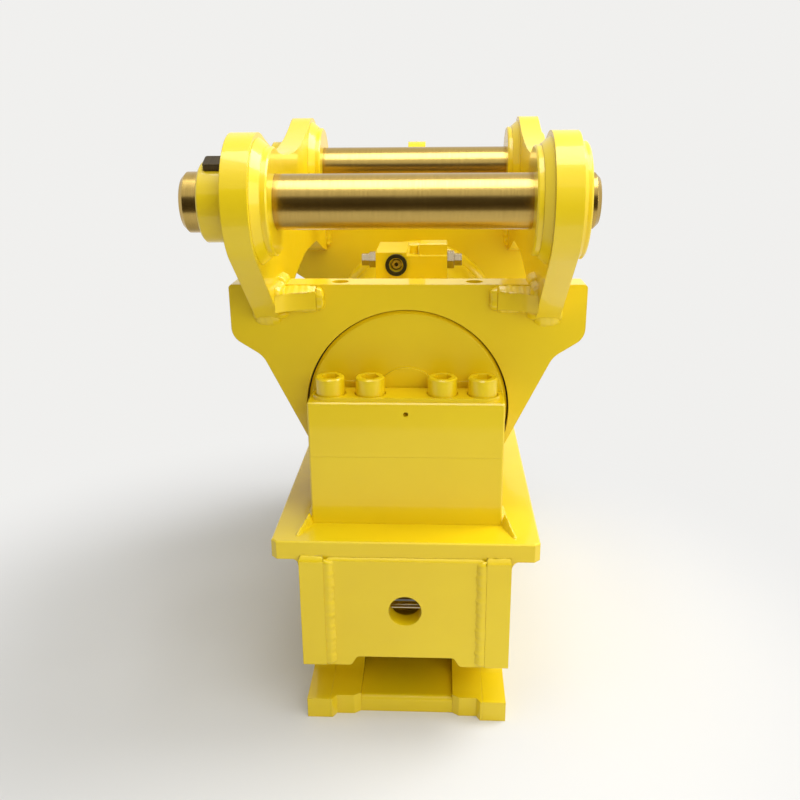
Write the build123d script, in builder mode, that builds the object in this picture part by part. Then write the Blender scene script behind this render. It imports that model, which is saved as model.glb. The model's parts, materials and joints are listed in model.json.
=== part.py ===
from build123d import *
import os
from math import acos, atan2, cos, degrees, hypot, radians, sin, tan

os.makedirs("parts", exist_ok=True)

# Tilting quick coupler for a digger of 7 to 9 tonnes, in millimetres.
# The origin is on the axis of the front jaw, midway between the side plates.
# X runs to the right, Y from the front to the rear and Z up.
# The carrier stands on its feet, and the head above it tilts about an axis along Y.

# Clearances
run_gap = 0.1
seat_gap = 0.1
mesh_gap = 0.4
edge_break = 1.5
bolt_gap = 1.0
cut_over = 1.0

# Tool pins in the open jaw and the saddle of the carrier
pin_d = 50.0
jaw_gap = 0.3
tool_pitch = 345.0
pin_r = pin_d / 2
jaw_r = pin_r + jaw_gap

# Side plates of the carrier
foot_drop = 49.0
lip_reach = 49.0
side_front = 60.0
side_gap = 166.0
side_t = 25.0
side_rise = 149.0
heel_length = 48.0
tail_reach = 168.0
tail_rise = 82.0
nose_round = 3.0
foot_break = 4.0
heel_round = 20.0
tail_round = 25.0
side_in = side_gap / 2
side_out = side_in + side_t

# Top plate
deck_w = 274.0
deck_t = 20.0
deck_nose = 54.0
deck_tail = 41.5
deck_corner = 6.0
deck_top = side_rise + deck_t

# Cross plates between the side plates
cross_t = 20.0
cross_set_back = 3.0
arch_w = 114.0
arch_top_w = 102.0
arch_h = 10.5
arch_round = 4.0
window_d = 34.0
window_drop = 57.5
saddle_plate_lead = 85.0
rear_cross_h = 100.0

# Bright rod behind the window
rod_d = 8.0
rod_y = -8.0
rod_z = 68.8

# Jaw pads and floor
pad_w = 32.6
pad_wall = 34.0
nose_step = 7.0
nose_slope = 5.0
nose_cut = 4.0
floor_round = 6.0
floor_t = 19.6
floor_rear = 145.0

# Bearing blocks, each a lower block and a cap
block_w = 200.0
block_t = 42.0
block_front = -12.0
block_h = 75.5
cap_h = 59.0
land_h = 4.0
land_w = 36.0
grease_d = 5.0
grease_drop = 12.0
grease_depth = 8.0

# Socket screws M20 of the blocks
screw_d = 20.0
screw_head_d = 30.0
screw_head_h = 20.0
screw_key = 17.0
screw_sink = 2.0
screw_key_depth = 10.0
thread_end = 2.0
inner_screw_x = 37.0
outer_screw_x = 78.0
thread_depth = 55.0

# Rotary drive: shaft, journal bushes and tube
shaft_r = 46.0
journal_r = 72.0
bush_t = 17.9
tube_t = 20.2
tube_length = 353.5
butt_w = 3.6
dust_gap = 1.6
thrust_t = 6.4
bush_length = 21.4
journal_length = 40.0
seal_t = 6.0
sweep_gap = 3.3

# Hanger plates of the head
plate_t = 33.0
plate_half_w = 182.0
plate_rise = 132.9
plate_play = 1.5
flank_angle = 25.9
flank_length = 117.5
shoulder_angle = 32.7
rear_plate_rise = 189.5
rear_plate_half_w = 158.0
lifting_spacing = 138.0
lifting_tap_d = 17.5
lifting_tap_depth = 40.0
waist_round = 25.0
shoulder_round = 18.0
top_round = 4.0
rear_top_round = 12.0
rear_shoulder_drop = 14.0

# Ears and their pins
stick_gap = 232.8
boss_length = 14.0
boss_r = 49.0
boss_weld = 8.0
weld_taper = 40.0
ear_t = 24.2
hump_r = 61.3
saddle_r = 430.0
ear_tip_rise = 95.5
front_pin_y = -26.7
front_pin_rise = 220.7
rear_pin_y = 318.0
rear_pin_rise = 230.5
rear_ear_top = 176.5
rear_ear_foot = 108.5
arch_foot = 97.5
arch_crown = 137.5
arch_crown_y = 230.0
arch_bend_y = 312.0
arch_knee_y = 372.0
arch_knee = 118.5
arch_bulge = 7.0

# Driving face that each bearing block clamps
tongue_w = 116.0
tongue_h = 42.5
tongue_depth = 28.0
ledge_w = 170.0
ledge_rise = 30.5
ledge_t = 1.5
hub_r = 34.0
hub_rise = 45.5
hub_t = 3.5

# Derived places of the drive
block_rear = block_front + block_t
block_y = (block_front + block_rear) / 2
tube_in_r = journal_r + run_gap + bush_t + seat_gap
tube_r = tube_in_r + tube_t
axis_z = deck_top + tube_r + sweep_gap
plate_bore_r = tube_r - butt_w
flange_r = plate_bore_r - dust_gap
plate_front = block_rear + plate_play
plate_rear = plate_front + plate_t
tube_rear = plate_rear + tube_length
rear_plate_rear = tube_rear + plate_t
mid_y = (plate_rear + tube_rear) / 2
flange_front = block_rear + hub_t
flange_rear = plate_rear - thrust_t - run_gap
plate_top = axis_z + plate_rise
cap_base = deck_top + block_h
cap_top = cap_base + cap_h
deck_rear = 2 * mid_y - block_front + deck_tail
middle = Plane.XZ.offset(-mid_y)
tilt_axis = Axis((0, 0, axis_z), (0, 1, 0))


def mirrored_y(y):
    """The same place seen from the other end of the drive."""
    return 2 * mid_y - y


def on_circle(centre, radius, angle):
    """Point of a circle at an angle in degrees from the first axis."""
    return (centre[0] + radius * cos(radians(angle)), centre[1] + radius * sin(radians(angle)))


def bearing(start, end):
    """Direction from one point to another, in degrees."""
    return degrees(atan2(end[1] - start[1], end[0] - start[0]))


def tangent_angle(point, centre, radius, turn):
    """Angle on a circle where a line from an outside point touches it, on the side given by turn."""
    distance = hypot(point[0] - centre[0], point[1] - centre[1])
    return bearing(centre, point) + turn * degrees(acos(radius / distance))


# Top plate of the carrier
with BuildPart() as carrier_top_plate:
    with BuildSketch(Plane.XY.offset(side_rise)) as outline:
        with Locations((0, (deck_rear - deck_nose) / 2)):
            Rectangle(deck_w, deck_rear + deck_nose)
        chamfer(outline.vertices(), deck_corner)
    extrude(amount=deck_t)
    chamfer(carrier_top_plate.faces().sort_by(Axis.Z)[-1].edges(), edge_break)
carrier_top_plate.part.label = "carrier_top_plate"
export_step(carrier_top_plate.part, "parts/carrier_top_plate.step")

# Side plates, with the jaw open to the front and the saddle open to the ground
saddle_rear = tool_pitch + jaw_r
heel_y = saddle_rear + heel_length
tail_y = tool_pitch + tail_reach
with BuildPart() as right_side_plate:
    with BuildSketch(Plane.YZ.offset(side_in)) as outline:
        with BuildLine():
            Polyline(
                (-side_front, side_rise),
                (-side_front, 0),
                (-lip_reach, 0),
                (-lip_reach, -foot_drop),
                (heel_y, -foot_drop),
                (tail_y, tail_rise),
                (tail_y, side_rise),
                close=True,
            )
        make_face()
        with Locations((0, 0), (tool_pitch, 0)):
            Circle(jaw_r, mode=Mode.SUBTRACT)
        with Locations((-side_front, 0)):
            Rectangle(2 * side_front, 2 * jaw_r, mode=Mode.SUBTRACT)
        with Locations((tool_pitch, -foot_drop)):
            Rectangle(2 * jaw_r, 2 * foot_drop, mode=Mode.SUBTRACT)
        foot_corners = outline.vertices().group_by(Axis.Y)[0].sort_by(Axis.X)
        chamfer(foot_corners[1:3], foot_break)
        fillet(foot_corners[3], heel_round)
        fillet(outline.vertices().group_by(Axis.X)[0].sort_by(Axis.Y)[0], nose_round)
        fillet(outline.vertices().sort_by(Axis.X)[-2:].sort_by(Axis.Y)[0], tail_round)
    extrude(amount=side_t)
right_side_plate.part.label = "right_side_plate"
export_step(right_side_plate.part, "parts/right_side_plate.step")

with BuildPart() as left_side_plate:
    mirror(right_side_plate.part, about=Plane.YZ)
left_side_plate.part.label = "left_side_plate"
export_step(left_side_plate.part, "parts/left_side_plate.step")

# Front cross plate, with a shallow arch over the jaw and a round window
cross_rear = cross_set_back + cross_t - side_front
with BuildPart() as front_cross_plate:
    with BuildSketch(Plane.XZ.offset(-cross_rear)) as outline:
        with Locations((0, (side_rise + jaw_r) / 2)):
            Rectangle(side_gap, side_rise - jaw_r)
        with BuildLine():
            Polyline(
                (-arch_w / 2, jaw_r),
                (-arch_top_w / 2, jaw_r + arch_h),
                (arch_top_w / 2, jaw_r + arch_h),
                (arch_w / 2, jaw_r),
                close=True,
            )
        make_face(mode=Mode.SUBTRACT)
        arch_half = arch_w / 2 + cut_over
        fillet(outline.vertices().filter_by_position(Axis.X, -arch_half, arch_half), arch_round)
        with Locations((0, side_rise - window_drop)):
            Circle(window_d / 2, mode=Mode.SUBTRACT)
    extrude(amount=cross_t)
front_cross_plate.part.label = "front_cross_plate"
export_step(front_cross_plate.part, "parts/front_cross_plate.step")

# Jaw pads that thicken the side plates round the throat of the jaw
pad_in = side_in - pad_w
with BuildPart() as right_jaw_pad:
    with BuildSketch(Plane.YZ.offset(pad_in)) as outline:
        with BuildLine():
            Polyline(
                (-lip_reach, 0),
                (-lip_reach, -foot_drop),
                (jaw_r + pad_wall, -foot_drop),
                (jaw_r + pad_wall, jaw_r + pad_wall / 2),
                (cross_rear, jaw_r + pad_wall),
                (cross_rear, 0),
                close=True,
            )
        make_face()
        Circle(jaw_r, mode=Mode.SUBTRACT)
        with Locations((-side_front, 0)):
            Rectangle(2 * side_front, 2 * jaw_r, mode=Mode.SUBTRACT)
    extrude(amount=pad_w)
    with BuildSketch(Plane.XY.offset(-foot_drop)):
        with BuildLine():
            Polyline(
                (side_in - nose_slope / 2, -lip_reach),
                (side_in - nose_slope / 2 - nose_cut, nose_step - lip_reach),
                (pad_in + nose_step, nose_step - lip_reach),
                (pad_in, nose_step + nose_slope - lip_reach),
                (pad_in, -lip_reach),
                close=True,
            )
        make_face()
    extrude(amount=foot_drop, mode=Mode.SUBTRACT)
right_jaw_pad.part.label = "right_jaw_pad"
export_step(right_jaw_pad.part, "parts/right_jaw_pad.step")

with BuildPart() as left_jaw_pad:
    mirror(right_jaw_pad.part, about=Plane.YZ)
left_jaw_pad.part.label = "left_jaw_pad"
export_step(left_jaw_pad.part, "parts/left_jaw_pad.step")

# Floor plate between the pads
floor_front = nose_step + nose_slope - lip_reach
with BuildPart() as jaw_floor:
    with BuildSketch(Plane.XY.offset(-foot_drop)):
        with Locations((0, (floor_front + floor_rear) / 2)):
            Rectangle(2 * pad_in, floor_rear - floor_front)
    extrude(amount=floor_t)
    fillet(jaw_floor.faces().sort_by(Axis.Z)[-1].edges().sort_by(Axis.Y)[0], floor_round)
jaw_floor.part.label = "jaw_floor"
export_step(jaw_floor.part, "parts/jaw_floor.step")

# Latch: a wedge under the rear tool pin, pushed by a cylinder between the side plates
latch_travel = 38.0
latch_z = 94.0
rail_t = 5.0
rail_w = 25.0
wedge_w = 160.0
wedge_h = 39.0
wedge_front = 184.0
wedge_rear = 356.0
wedge_slope = 20.0
lug_front = 188.0
lug_t = 30.0
lug_w = 80.0
eye_w = 24.0
rod_r = 12.0
rod_pin_r = 8.0
barrel_r = 28.0
barrel_bore_r = 20.0
barrel_front = 28.0
barrel_length = 107.0
barrel_base_t = 8.0
gland_t = 8.0
gland_spigot = 10.0
piston_t = 22.0
piston_rest = 3.0
bracket_t = 12.0
barrel_break = 3.0
wedge_base = rail_t + seat_gap - foot_drop
wedge_top = wedge_base + wedge_h
barrel_rear = barrel_front + barrel_length
contact_y = tool_pitch - pin_r * sin(radians(wedge_slope))
contact_z = -pin_r * cos(radians(wedge_slope)) - jaw_gap
slope_start_y = contact_y - (wedge_top - contact_z) / tan(radians(wedge_slope))
slope_end_z = contact_z - (wedge_rear - contact_y) * tan(radians(wedge_slope))

# Cross plate in front of the saddle, the one under the rear block and the bright rod
saddle_plate_front = tool_pitch - saddle_plate_lead
saddle_base = wedge_top + rail_t
with BuildPart() as saddle_cross_plate:
    with BuildSketch(Plane.XZ.offset(-saddle_plate_front - cross_t)):
        with Locations((0, (side_rise + saddle_base) / 2)):
            Rectangle(side_gap, side_rise - saddle_base)
    extrude(amount=cross_t)
saddle_cross_plate.part.label = "saddle_cross_plate"
export_step(saddle_cross_plate.part, "parts/saddle_cross_plate.step")

rear_cross_y = mirrored_y(block_y) + cross_t / 2
with BuildPart() as rear_cross_plate:
    with BuildSketch(Plane.XZ.offset(-rear_cross_y)):
        with Locations((0, side_rise - rear_cross_h / 2)):
            Rectangle(side_gap, rear_cross_h)
    extrude(amount=cross_t)
rear_cross_plate.part.label = "rear_cross_plate"
export_step(rear_cross_plate.part, "parts/rear_cross_plate.step")

with BuildPart() as cross_rod:
    with BuildSketch(Plane.YZ.offset(-side_in)):
        with Locations((rod_y, rod_z)):
            Circle(rod_d / 2)
    extrude(amount=side_gap)
cross_rod.part.label = "cross_rod"
export_step(cross_rod.part, "parts/cross_rod.step")

# Latch wedge, which slides in its rails
with BuildPart() as latch_wedge:
    with BuildSketch(Plane.YZ.offset(-wedge_w / 2)):
        with BuildLine():
            Polyline(
                (wedge_front, wedge_base),
                (wedge_rear, wedge_base),
                (wedge_rear, slope_end_z),
                (slope_start_y, wedge_top),
                (wedge_front, wedge_top),
                close=True,
            )
        make_face()
    extrude(amount=wedge_w)
    with BuildSketch(Plane.YZ.offset(-lug_w / 2)):
        with Locations((lug_front + lug_t / 2, (latch_z + wedge_base) / 2)):
            Rectangle(lug_t, latch_z - wedge_base)
        with Locations((lug_front + lug_t / 2, latch_z)):
            Circle(lug_t / 2)
    extrude(amount=lug_w)
    with BuildSketch(Plane.YZ.offset(-eye_w / 2 - mesh_gap)):
        with Locations((lug_front + lug_t / 2, latch_z)):
            Rectangle(2 * lug_t, 2 * lug_t)
    extrude(amount=eye_w + 2 * mesh_gap, mode=Mode.SUBTRACT)
    with BuildSketch(Plane.YZ.offset(-lug_w)):
        with Locations((lug_front + lug_t / 2, latch_z)):
            Circle(rod_pin_r + seat_gap)
    extrude(amount=2 * lug_w, mode=Mode.SUBTRACT)
latch_wedge.part.label = "latch_wedge"
export_step(latch_wedge.part, "parts/latch_wedge.step")

# Channel rails that guide the wedge along the side plates
rail_front = lug_front
rail_rear = slope_start_y
with BuildPart() as right_latch_rail:
    with BuildSketch(Plane.XZ.offset(-rail_rear)):
        with Locations((side_in - rail_w / 2, (wedge_top + rail_t - foot_drop) / 2)):
            Rectangle(rail_w, wedge_top + rail_t + foot_drop)
        with Locations((0, (wedge_base + wedge_top) / 2)):
            Rectangle(wedge_w + 4 * seat_gap, wedge_h + 2 * seat_gap, mode=Mode.SUBTRACT)
    extrude(amount=rail_rear - rail_front)
right_latch_rail.part.label = "right_latch_rail"
export_step(right_latch_rail.part, "parts/right_latch_rail.step")

with BuildPart() as left_latch_rail:
    mirror(right_latch_rail.part, about=Plane.YZ)
left_latch_rail.part.label = "left_latch_rail"
export_step(left_latch_rail.part, "parts/left_latch_rail.step")

# Bracket that carries the barrel of the latch cylinder
with BuildPart() as cylinder_bracket:
    with BuildSketch(Plane.XZ.offset(-barrel_front)):
        with Locations((0, (side_rise + latch_z - barrel_r) / 2)):
            Rectangle(side_gap, side_rise - latch_z + barrel_r)
    extrude(amount=bracket_t)
cylinder_bracket.part.label = "cylinder_bracket"
export_step(cylinder_bracket.part, "parts/cylinder_bracket.step")

with BuildPart() as latch_barrel:
    with BuildSketch(Plane.XZ.offset(-barrel_rear)):
        with Locations((0, latch_z)):
            Circle(barrel_r)
    extrude(amount=barrel_length)
    with BuildSketch(Plane.XZ.offset(-barrel_rear)):
        with Locations((0, latch_z)):
            Circle(barrel_bore_r)
    extrude(amount=barrel_length - barrel_base_t, mode=Mode.SUBTRACT)
    chamfer(latch_barrel.edges().filter_by(GeomType.CIRCLE).sort_by(Axis.Y)[0], barrel_break)
latch_barrel.part.label = "latch_barrel"
export_step(latch_barrel.part, "parts/latch_barrel.step")

with BuildPart() as latch_gland:
    with BuildSketch(Plane.XZ.offset(-barrel_rear - gland_t)):
        with Locations((0, latch_z)):
            Circle(barrel_r)
    extrude(amount=gland_t)
    with BuildSketch(Plane.XZ.offset(-barrel_rear)):
        with Locations((0, latch_z)):
            Circle(barrel_bore_r - seat_gap)
    extrude(amount=gland_spigot)
    with BuildSketch(Plane.XZ.offset(-barrel_rear - gland_t)):
        with Locations((0, latch_z)):
            Circle(rod_r + run_gap)
    extrude(amount=gland_t + gland_spigot, mode=Mode.SUBTRACT)
latch_gland.part.label = "latch_gland"
export_step(latch_gland.part, "parts/latch_gland.step")

port_r = 9.0
port_length = 15.0
port_inset = 18.0
port_sink = 2.0
with BuildPart() as latch_ports:
    with BuildSketch(Plane.YZ.offset(barrel_r - port_sink)):
        with Locations((barrel_front + port_inset, latch_z), (barrel_rear - port_inset, latch_z)):
            RegularPolygon(port_r, 6, major_radius=False)
    extrude(amount=port_length)
    with BuildSketch(Plane.XZ.offset(-barrel_rear)):
        with Locations((0, latch_z)):
            Circle(barrel_r + seat_gap)
    extrude(amount=barrel_length, mode=Mode.SUBTRACT)
latch_ports.part.label = "latch_ports"
export_step(latch_ports.part, "parts/latch_ports.step")

# Piston and rod of the latch, and the pin that joins the rod to the wedge
piston_rear = barrel_rear - gland_spigot - piston_rest
eye_y = lug_front + lug_t / 2
with BuildPart() as latch_piston:
    with BuildSketch(Plane.XZ.offset(-piston_rear)):
        with Locations((0, latch_z)):
            Circle(barrel_bore_r - run_gap)
            Circle(rod_r + seat_gap, mode=Mode.SUBTRACT)
    extrude(amount=piston_t)
latch_piston.part.label = "latch_piston"
export_step(latch_piston.part, "parts/latch_piston.step")

with BuildPart() as latch_rod:
    with BuildSketch(Plane.XZ.offset(-eye_y)):
        with Locations((0, latch_z)):
            Circle(rod_r)
    extrude(amount=eye_y - piston_rear + piston_t)
    with BuildSketch(Plane.YZ.offset(-eye_w / 2)):
        with Locations((eye_y, latch_z)):
            Circle(lug_t / 2)
    extrude(amount=eye_w)
    with BuildSketch(Plane.YZ.offset(-eye_w)):
        with Locations((eye_y, latch_z)):
            Circle(rod_pin_r + seat_gap)
    extrude(amount=2 * eye_w, mode=Mode.SUBTRACT)
latch_rod.part.label = "latch_rod"
export_step(latch_rod.part, "parts/latch_rod.step")

with BuildPart() as latch_rod_pin:
    with BuildSketch(Plane.YZ.offset(-lug_w / 2)):
        with Locations((eye_y, latch_z)):
            Circle(rod_pin_r)
    extrude(amount=lug_w)
latch_rod_pin.part.label = "latch_rod_pin"
export_step(latch_rod_pin.part, "parts/latch_rod_pin.step")

# Lower bearing blocks, welded to the top plate and tapped for the cap screws
screw_places = [(x, block_y) for x in (-outer_screw_x, -inner_screw_x, inner_screw_x, outer_screw_x)]
with BuildPart() as front_block:
    with BuildSketch(Plane.XY.offset(deck_top)):
        with Locations((0, block_y)):
            Rectangle(block_w, block_t)
    extrude(amount=block_h)
    with BuildSketch(Plane.XY.offset(cap_base)):
        with Locations(*screw_places):
            Circle(screw_d / 2 + seat_gap)
    extrude(amount=-thread_depth, mode=Mode.SUBTRACT)
    chamfer(front_block.edges().filter_by(Axis.Z).group_by(SortBy.LENGTH)[-1], edge_break)
front_block.part.label = "front_block"
export_step(front_block.part, "parts/front_block.step")

# Caps, with a raised land round the screw heads and a pocket for the driving tongue
tongue_top = cap_base + tongue_h
with BuildPart() as front_block_cap:
    with BuildSketch(Plane.XY.offset(cap_base)):
        with Locations((0, block_y)):
            Rectangle(block_w, block_t)
    extrude(amount=cap_h)
    chamfer(front_block_cap.edges().filter_by(Axis.Z), edge_break)
    chamfer(front_block_cap.faces().sort_by(Axis.Z)[-1].edges(), edge_break)
    with BuildSketch(Plane.XY.offset(cap_top)):
        with Locations((0, block_y)):
            SlotCenterToCenter(2 * outer_screw_x, land_w)
    extrude(amount=land_h)
    with BuildSketch(Plane.XY.offset(cap_top + land_h)):
        with Locations(*screw_places):
            Circle(screw_head_d / 2 + bolt_gap)
    extrude(amount=-screw_sink, mode=Mode.SUBTRACT)
    with BuildSketch(Plane.XY.offset(cap_base)):
        with Locations(*screw_places):
            Circle(screw_d / 2 + bolt_gap)
    extrude(amount=cap_h + land_h, mode=Mode.SUBTRACT)
    with BuildSketch(Plane.XY.offset(cap_base)):
        with Locations((0, block_rear - tongue_depth / 2 - seat_gap)):
            Rectangle(tongue_w + 2 * seat_gap, tongue_depth + 2 * seat_gap)
    extrude(amount=tongue_h + seat_gap, mode=Mode.SUBTRACT)
    with BuildSketch(Plane.XZ.offset(-block_front)):
        with Locations((0, cap_top - grease_drop)):
            Circle(grease_d / 2)
    extrude(amount=-grease_depth, mode=Mode.SUBTRACT)
front_block_cap.part.label = "front_block_cap"
export_step(front_block_cap.part, "parts/front_block_cap.step")

head_base = cap_top + land_h - screw_sink
with BuildPart() as front_block_screws:
    with BuildSketch(Plane.XY.offset(head_base)):
        with Locations(*screw_places):
            Circle(screw_head_d / 2)
    extrude(amount=screw_head_h)
    chamfer(front_block_screws.edges().filter_by(GeomType.CIRCLE).group_by(Axis.Z)[-1], edge_break)
    with BuildSketch(Plane.XY.offset(head_base + screw_head_h)):
        with Locations(*screw_places):
            RegularPolygon(screw_key / 2, 6, major_radius=False)
    extrude(amount=-screw_key_depth, mode=Mode.SUBTRACT)
    with BuildSketch(Plane.XY.offset(cap_base - thread_depth + thread_end)):
        with Locations(*screw_places):
            Circle(screw_d / 2)
    extrude(until=Until.NEXT)
front_block_screws.part.label = "front_block_screws"
export_step(front_block_screws.part, "parts/front_block_screws.step")

with BuildPart() as rear_block:
    mirror(front_block.part, about=middle)
rear_block.part.label = "rear_block"
export_step(rear_block.part, "parts/rear_block.step")

with BuildPart() as rear_block_cap:
    mirror(front_block_cap.part, about=middle)
rear_block_cap.part.label = "rear_block_cap"
export_step(rear_block_cap.part, "parts/rear_block_cap.step")

with BuildPart() as rear_block_screws:
    mirror(front_block_screws.part, about=middle)
rear_block_screws.part.label = "rear_block_screws"
export_step(rear_block_screws.part, "parts/rear_block_screws.step")

# Helical splines: the head turns through 60 degrees while the piston travels one sixth of the lead
helix_lead = 300.0
helix_starts = 8
helix_h = 8.0
tilt_limit = 60.0
piston_stroke = helix_lead * tilt_limit / 360
piston_head_t = 30.0
nut_length = 50.0
ring_gear_t = 30.0
skirt_r = 78.0
spline_h = 3.0
spline_w = 8.0
spline_count = 16
stroke_spare = 2.0
tooth_share = 0.45
groove_share = 0.5
root_sink = 1.0
skirt_gap = 3.0
groove_land = 4.0
journal_rear = flange_rear + journal_length
cap_front = mirrored_y(journal_rear)
piston_head_front = journal_rear + piston_stroke + stroke_spare
skirt_front = piston_head_front + piston_head_t
ring_gear_front = skirt_front + piston_stroke + stroke_spare
nut_rear = cap_front - piston_stroke - stroke_spare
nut_front = nut_rear - nut_length
helix_front = nut_front - piston_stroke - stroke_spare
helix_rear = cap_front - stroke_spare / 2


def helix_solid(core_r, outer_r, tooth_share, start_y, end_y):
    """Splined bar along the tilt axis, whose teeth turn once for each lead."""
    tooth = 360 / helix_starts * tooth_share
    phase = 360 * start_y / helix_lead
    with BuildSketch(Plane.XZ.offset(-start_y)) as section:
        with Locations((0, axis_z)):
            Circle(core_r)
            with PolarLocations(0, helix_starts, start_angle=-phase):
                with BuildLine():
                    Polyline(
                        (0, 0),
                        on_circle((0, 0), outer_r, -tooth / 2),
                        on_circle((0, 0), outer_r, tooth / 2),
                        close=True,
                    )
                make_face()
    face = section.sketch.faces()[0]
    turn = 360 * (end_y - start_y) / helix_lead
    return Solid.extrude_linear_with_rotation(face, (0, start_y, axis_z), (0, end_y - start_y, 0), turn)


def drive_face():
    """Tongue, ledge and hub on the front of a flange, clamped by the bearing block."""
    with BuildPart() as face:
        with BuildSketch(Plane.XZ.offset(-flange_front)):
            with Locations((0, cap_base + tongue_h / 2)):
                Rectangle(tongue_w, tongue_h)
        extrude(amount=hub_t + tongue_depth)
        with BuildSketch(Plane.XY.offset(cap_base)):
            with Locations((-inner_screw_x, block_y), (inner_screw_x, block_y)):
                Circle(screw_d / 2 + bolt_gap)
        extrude(amount=tongue_h, mode=Mode.SUBTRACT)
        with BuildSketch(Plane.XZ.offset(-flange_front)):
            with Locations((0, (axis_z + ledge_rise + tongue_top) / 2)):
                Rectangle(ledge_w, axis_z + ledge_rise - tongue_top)
        extrude(amount=ledge_t)
        with BuildSketch(Plane.XZ.offset(-flange_front)):
            with Locations((0, axis_z + hub_rise - hub_r)):
                Circle(hub_r)
            with Locations((0, (axis_z + hub_rise - hub_r + cap_base) / 2)):
                Rectangle(2 * hub_r, axis_z + hub_rise - hub_r - cap_base)
        extrude(amount=hub_t)
    return face.part


lock_pin_r = 4.0
lock_pin_depth = 8.0
lock_pin_inset = 6.0
lock_pin_sink = 1.0
flange_break = 3.0
lock_pin_angles = (0, 90, 180, 270)

# Shaft with its front flange, journal and helical splines
cap_bore_r = shaft_r + seat_gap
rear_flange_front = mirrored_y(flange_rear)
rear_flange_rear = mirrored_y(flange_front)
lock_pin_y = rear_flange_front - journal_length + lock_pin_inset


def lock_pin_plane(angle):
    """Plane square to a lock pin, which points away from the tilt axis."""
    way = (cos(radians(angle)), 0, sin(radians(angle)))
    return Plane((0, lock_pin_y, axis_z), (0, 1, 0), way)


with BuildPart() as tilt_shaft:
    with BuildSketch(Plane.YZ):
        with BuildLine():
            Polyline(
                (flange_front, axis_z),
                (flange_front, axis_z + flange_r - flange_break),
                (flange_front + flange_break, axis_z + flange_r),
                (flange_rear, axis_z + flange_r),
                (flange_rear, axis_z + journal_r),
                (flange_rear + journal_length, axis_z + journal_r),
                (flange_rear + journal_length, axis_z + shaft_r),
                (rear_flange_rear, axis_z + shaft_r),
                (rear_flange_rear, axis_z),
                close=True,
            )
        make_face()
    revolve(axis=tilt_axis)
    add(drive_face())
    add(helix_solid(shaft_r - root_sink, shaft_r + helix_h, tooth_share, helix_front, helix_rear))
    for angle in lock_pin_angles:
        with BuildSketch(lock_pin_plane(angle).offset(shaft_r - lock_pin_depth)):
            Circle(lock_pin_r + seat_gap)
        extrude(amount=2 * lock_pin_depth, mode=Mode.SUBTRACT)
tilt_shaft.part.label = "tilt_shaft"
export_step(tilt_shaft.part, "parts/tilt_shaft.step")

# End cap that closes the rear of the drive and takes the rear block
with BuildPart() as rear_end_cap:
    with BuildSketch(Plane.YZ):
        with BuildLine():
            Polyline(
                (rear_flange_front - journal_length, axis_z + cap_bore_r),
                (rear_flange_front - journal_length, axis_z + journal_r),
                (rear_flange_front, axis_z + journal_r),
                (rear_flange_front, axis_z + flange_r),
                (rear_flange_rear - flange_break, axis_z + flange_r),
                (rear_flange_rear, axis_z + flange_r - flange_break),
                (rear_flange_rear, axis_z + cap_bore_r),
                close=True,
            )
        make_face()
    revolve(axis=tilt_axis)
    mirror(drive_face(), about=middle)
    for angle in lock_pin_angles:
        with BuildSketch(lock_pin_plane(angle)):
            Circle(lock_pin_r + seat_gap)
        extrude(amount=journal_r + lock_pin_depth, mode=Mode.SUBTRACT)
rear_end_cap.part.label = "rear_end_cap"
export_step(rear_end_cap.part, "parts/rear_end_cap.step")

with BuildPart() as end_cap_lock_pins:
    for angle in lock_pin_angles:
        with BuildSketch(lock_pin_plane(angle).offset(shaft_r - lock_pin_depth + seat_gap)):
            Circle(lock_pin_r)
        extrude(amount=journal_r - shaft_r + lock_pin_depth - lock_pin_sink)
end_cap_lock_pins.part.label = "end_cap_lock_pins"
export_step(end_cap_lock_pins.part, "parts/end_cap_lock_pins.step")

# Piston sleeve: sealed head, straight splines outside and helical nut inside
with BuildPart() as piston_sleeve:
    with BuildSketch(Plane.XZ.offset(-skirt_front)):
        with Locations((0, axis_z)):
            Circle(tube_in_r - run_gap)
    extrude(amount=piston_head_t)
    with BuildSketch(Plane.XZ.offset(-nut_rear)):
        with Locations((0, axis_z)):
            Circle(skirt_r)
            with PolarLocations(skirt_r, spline_count):
                Rectangle(2 * spline_h, spline_w)
    extrude(amount=nut_rear - skirt_front)
    with BuildSketch(Plane.XZ.offset(-skirt_front)):
        with Locations((0, axis_z)):
            Circle(shaft_r + run_gap)
    extrude(amount=piston_head_t, mode=Mode.SUBTRACT)
    with BuildSketch(Plane.XZ.offset(-nut_front)):
        with Locations((0, axis_z)):
            Circle(shaft_r + helix_h + skirt_gap)
    extrude(amount=nut_front - skirt_front, mode=Mode.SUBTRACT)
    nut_groove = helix_solid(shaft_r + mesh_gap, shaft_r + helix_h + mesh_gap, groove_share, nut_front, nut_rear)
    add(nut_groove, mode=Mode.SUBTRACT)
    seal_grooves = [piston_head_front + groove_land, skirt_front - groove_land - seal_t]
    for groove_front in seal_grooves:
        with BuildSketch(Plane.XZ.offset(-groove_front - seal_t)):
            with Locations((0, axis_z)):
                Circle(tube_in_r + cut_over)
                Circle(tube_in_r - seal_t, mode=Mode.SUBTRACT)
        extrude(amount=seal_t, mode=Mode.SUBTRACT)
piston_sleeve.part.label = "piston_sleeve"
export_step(piston_sleeve.part, "parts/piston_sleeve.step")

with BuildPart() as piston_seals:
    for groove_front in seal_grooves:
        with BuildSketch(Plane.XZ.offset(-groove_front - seal_t + seat_gap)):
            with Locations((0, axis_z)):
                Circle(tube_in_r - run_gap)
                Circle(tube_in_r - seal_t + seat_gap, mode=Mode.SUBTRACT)
        extrude(amount=seal_t - 2 * seat_gap)
piston_seals.part.label = "piston_seals"
export_step(piston_seals.part, "parts/piston_seals.step")

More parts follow.
